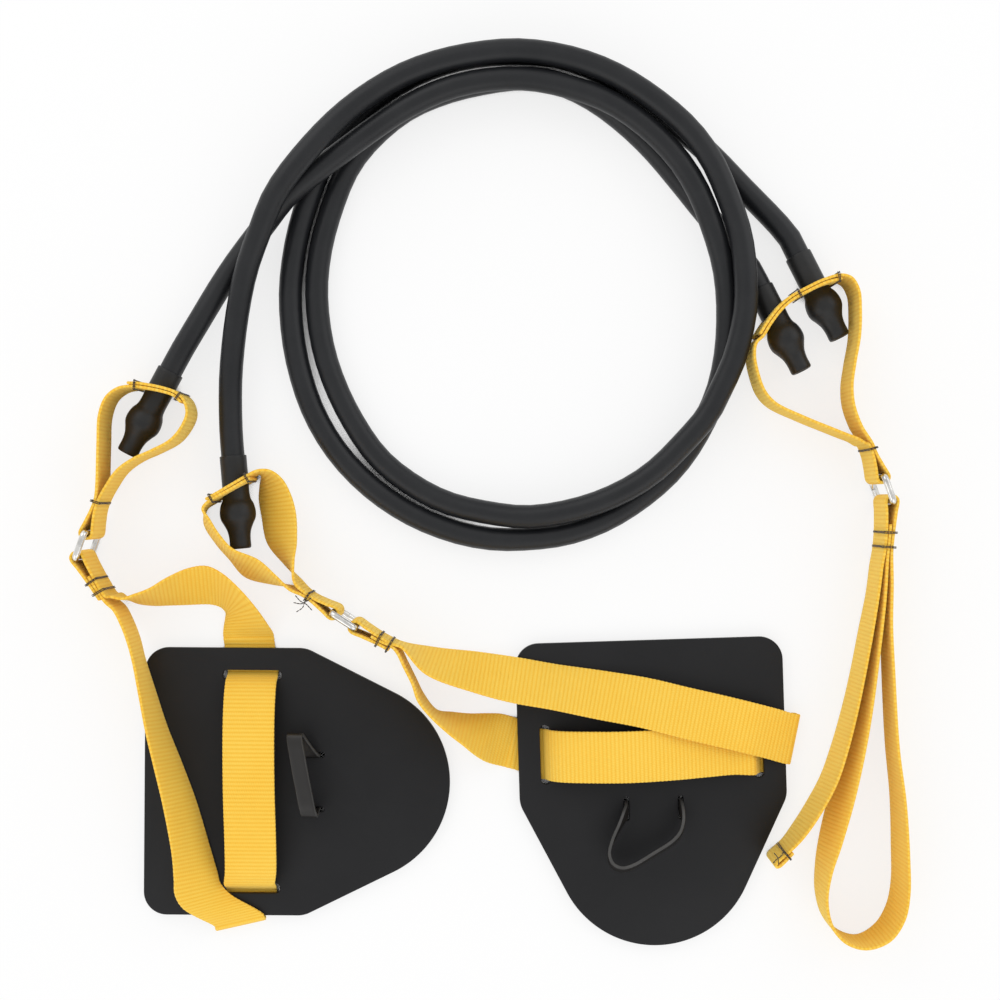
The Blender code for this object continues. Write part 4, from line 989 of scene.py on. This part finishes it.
def paddleOutline():
    shoulder = (paddle["shoulderAt"], paddle["halfWidth"])
    nose = (paddle["noseAt"], 0.0)
    radius = paddle["noseRadius"]
    toward = atan2(shoulder[1] - nose[1], shoulder[0] - nose[0])
    tangent = toward - acos(radius / dist(shoulder, nose))
    touch = (nose[0] + radius * cos(tangent), radius * sin(tangent))
    back = (0.0, paddle["halfWidth"])
    half = roundedCorner(back, (0.0, 0.0), shoulder, paddle["backRadius"])
    half += roundedCorner(shoulder, back, touch, paddle["shoulderRadius"])
    half += arcPoints(*nose, radius, tangent, -tangent, 28)
    return half + [(u, -v) for u, v in reversed(half[:-1])]


def slotOutline(u, v, length, width, count=10):
    radius = width / 2 - 0.01
    half = length / 2 - radius
    outline = arcPoints(u + half, v, radius, -pi / 2, pi, count)
    outline += arcPoints(u - half, v, radius, pi / 2, pi, count)
    return outline[::-1]


def plate(name, outline, levels, finish, matrix):
    count = len(outline)
    points = []
    for height, inset in levels:
        for i in range(count):
            along = (Vector(outline[(i + 1) % count]) - Vector(outline[i - 1])).normalized()
            inward = Vector(outline[i]) + Vector((along.y, -along.x)) * inset
            points.append(matrix @ Vector((inward.x, inward.y, height)))
    top = (len(levels) - 1) * count
    faces = [tuple(range(count)), tuple(range(top + count - 1, top - 1, -1))]
    for base in range(0, top, count):
        for i in range(count):
            j = (i + 1) % count
            faces.append((base + i, base + j, base + count + j, base + count + i))
    return meshFrom(name, points, faces, finish, "plate")


def paddlePiece(letter, place):
    matrix = paddleMatrix(place)
    edge = paddle["edge"]
    levels = [(floorGap, edge), (floorGap + edge * 0.3, edge * 0.3), (floorGap + edge, 0.0),
              (paddleTop - edge, 0.0), (paddleTop - edge * 0.3, edge * 0.3), (paddleTop, edge)]
    flare = [(floorGap - 1, -1.2), (floorGap + 0.2, 0.0), (paddleTop - 0.2, 0.0), (paddleTop + 1, -1.2)]
    made = plate("paddle_%s_plate" % letter, paddleOutline(), levels, paddleFinish, matrix)
    for side in (-1, 1):
        for along, slot in ((place["slot"], paddle), (fingerLoop["at"], fingerLoop)):
            outline = slotOutline(along, slot["slotSide"] * side, slot["slotLength"], slot["slotWidth"])
            cutAway(made, plate("cutter", outline, flare, paddleFinish, matrix))
    smoothShade(made, "plate")
    return made


for letter, place in paddlePlaces.items():
    plateMade = paddlePiece(letter, place)
    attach(plateMade, "handle_" + letter)
    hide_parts("paddle_" + letter)
print("paddles moulded")


# Finger loops: flat smoky rubber from one slot up, across and down into the other
def fingerStations(letter, place):
    matrix = paddleMatrix(place)
    side, base = fingerLoop["slotSide"], floorGap - paddleTop
    run = [(0, -1, base, 0), (0, -1, 0, 0)] + fingerLoop["arches"][letter] + [(0, 1, 0, 0), (0, 1, base, 0)]
    stations = []
    for along, share, height, lean in run:
        tilt = radians(lean)
        across = matrix.to_3x3() @ Vector((cos(tilt), 0.0, -sin(tilt)))
        spot = matrix @ Vector((fingerLoop["at"] + along, side * share, paddleTop + height))
        reach = fingerLoop["width"] / 2 * abs(across.z) + fingerLoop["thickness"] / 2 * across.xy.length
        stations.append((spot.x, spot.y, spot.z - reach, *across))
    return stations


for letter, place in paddlePlaces.items():
    body = "finger_loop_" + letter
    band, _ = tapePiece("finger_band_" + letter, fingerStations(letter, place), fingerFinish, fingerLoop, 0.0)
    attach(band, body)
    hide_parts(body)
    for side in ("left", "right"):
        paint(cadNodes["finger_loop_%s_%s_pin" % (letter, side)], plugFinish)
print("finger loops set")

# Table, backdrop light and lamps
studio = {
    "tableSize": 6.0, "tableDrop": 0.0004, "tableWhite": 0.93, "tableGlow": 0.76, "worldGrey": 0.80,
    # shadeReach to slotPaintedShade: painted shade on the table, dark where ambient occlusion finds it shut
    # in
    "shadeReach": 0.007, "shadeSamples": 12, "shutBelow": 0.26, "clearAbove": 0.37, "slotPaintedShade": 0.012,
    "lampDistance": 1.5, "lampMiddleY": 0.05, "lampSize": 1.1, "lampPower": 3.1,  # m and W
    "lamps": {  # azimuth and elevation in degrees, share of the power
        "keyLamp": (125, 34, 1.3), "fillLamp": (35, 30, 1.0), "rearLamp": (-60, 28, 1.0),
        "frontLamp": (-135, 28, 1.05),
    },
}


def tableFinish():
    # White that glows for the camera, with painted shade: its colour and its glow go dark where ambient
    # occlusion finds the ground nearly shut in, as in the slots
    made, tree, shader = newFinish("tableWhite", (studio["tableWhite"],) * 3)
    path = tree.nodes.new("ShaderNodeLightPath").outputs
    seen = mathNode("MAXIMUM", path["Is Camera Ray"], mathNode(
        "MAXIMUM", path["Is Glossy Ray"], path["Is Transmission Ray"]))
    shut = addNode(tree, "ShaderNodeAmbientOcclusion", {"Distance": studio["shadeReach"]},
                   samples=studio["shadeSamples"]).outputs["AO"]

    # painted shade: the dark value where the ground is shut in, the white one where it is clear
    def paintedShade(dark, white):
        return rampNode(shut, [(studio["shutBelow"], (dark,) * 3), (studio["clearAbove"], (white,) * 3)])

    setInputs(shader, {"Base Color": paintedShade(studio["slotPaintedShade"], studio["tableWhite"]), "Roughness": 0.9,
                       "Specular IOR Level": 0.1})
    glow = flow(tree, "ShaderNodeEmission", {"Strength": 1.0})
    # the glow fades with the same painted shade
    share = times(times(seen, paintedShade(0.0, 1.0)), studio["tableGlow"])
    mix = flow(tree, "ShaderNodeMixShader", {"Fac": share, 1: shader.outputs["BSDF"], 2: glow})
    setInputs(tree.nodes["Material Output"], {"Surface": mix})
    return made


half = studio["tableSize"] / 2
tableCorners = [(-half, -half, 0), (half, -half, 0), (half, half, 0), (-half, half, 0)]
tableMesh = bpy.data.meshes.new("table")
tableMesh.from_pydata(tableCorners, [], [(0, 1, 2, 3)])
table = addObject("table", tableMesh, tableFinish())
table.location.z = -studio["tableDrop"]

world = bpy.data.worlds.new("studio")
world.use_nodes = True
studioScene.world = world
setInputs(world.node_tree.nodes["Background"],
          {"Color": (1.0, 1.0, 1.0, 1.0), "Strength": studio["worldGrey"]})
for name, (azimuth, elevation, share) in studio["lamps"].items():
    lamp = bpy.data.lights.new(name, "AREA")
    lamp.shape = "SQUARE"
    lamp.size = studio["lampSize"]
    lamp.energy = studio["lampPower"] * share
    stand = bpy.data.objects.new(name, lamp)
    turn, lift = radians(azimuth), radians(elevation)
    level = studio["lampDistance"] * cos(lift)
    stand.location = (level * cos(turn), level * sin(turn) + studio["lampMiddleY"],
                      studio["lampDistance"] * sin(lift))
    stand.rotation_euler = (-stand.location).to_track_quat("-Z", "Y").to_euler()
    studioScene.collection.objects.link(stand)
studioScene.view_settings.view_transform = "Standard"
print("table and lamps placed")
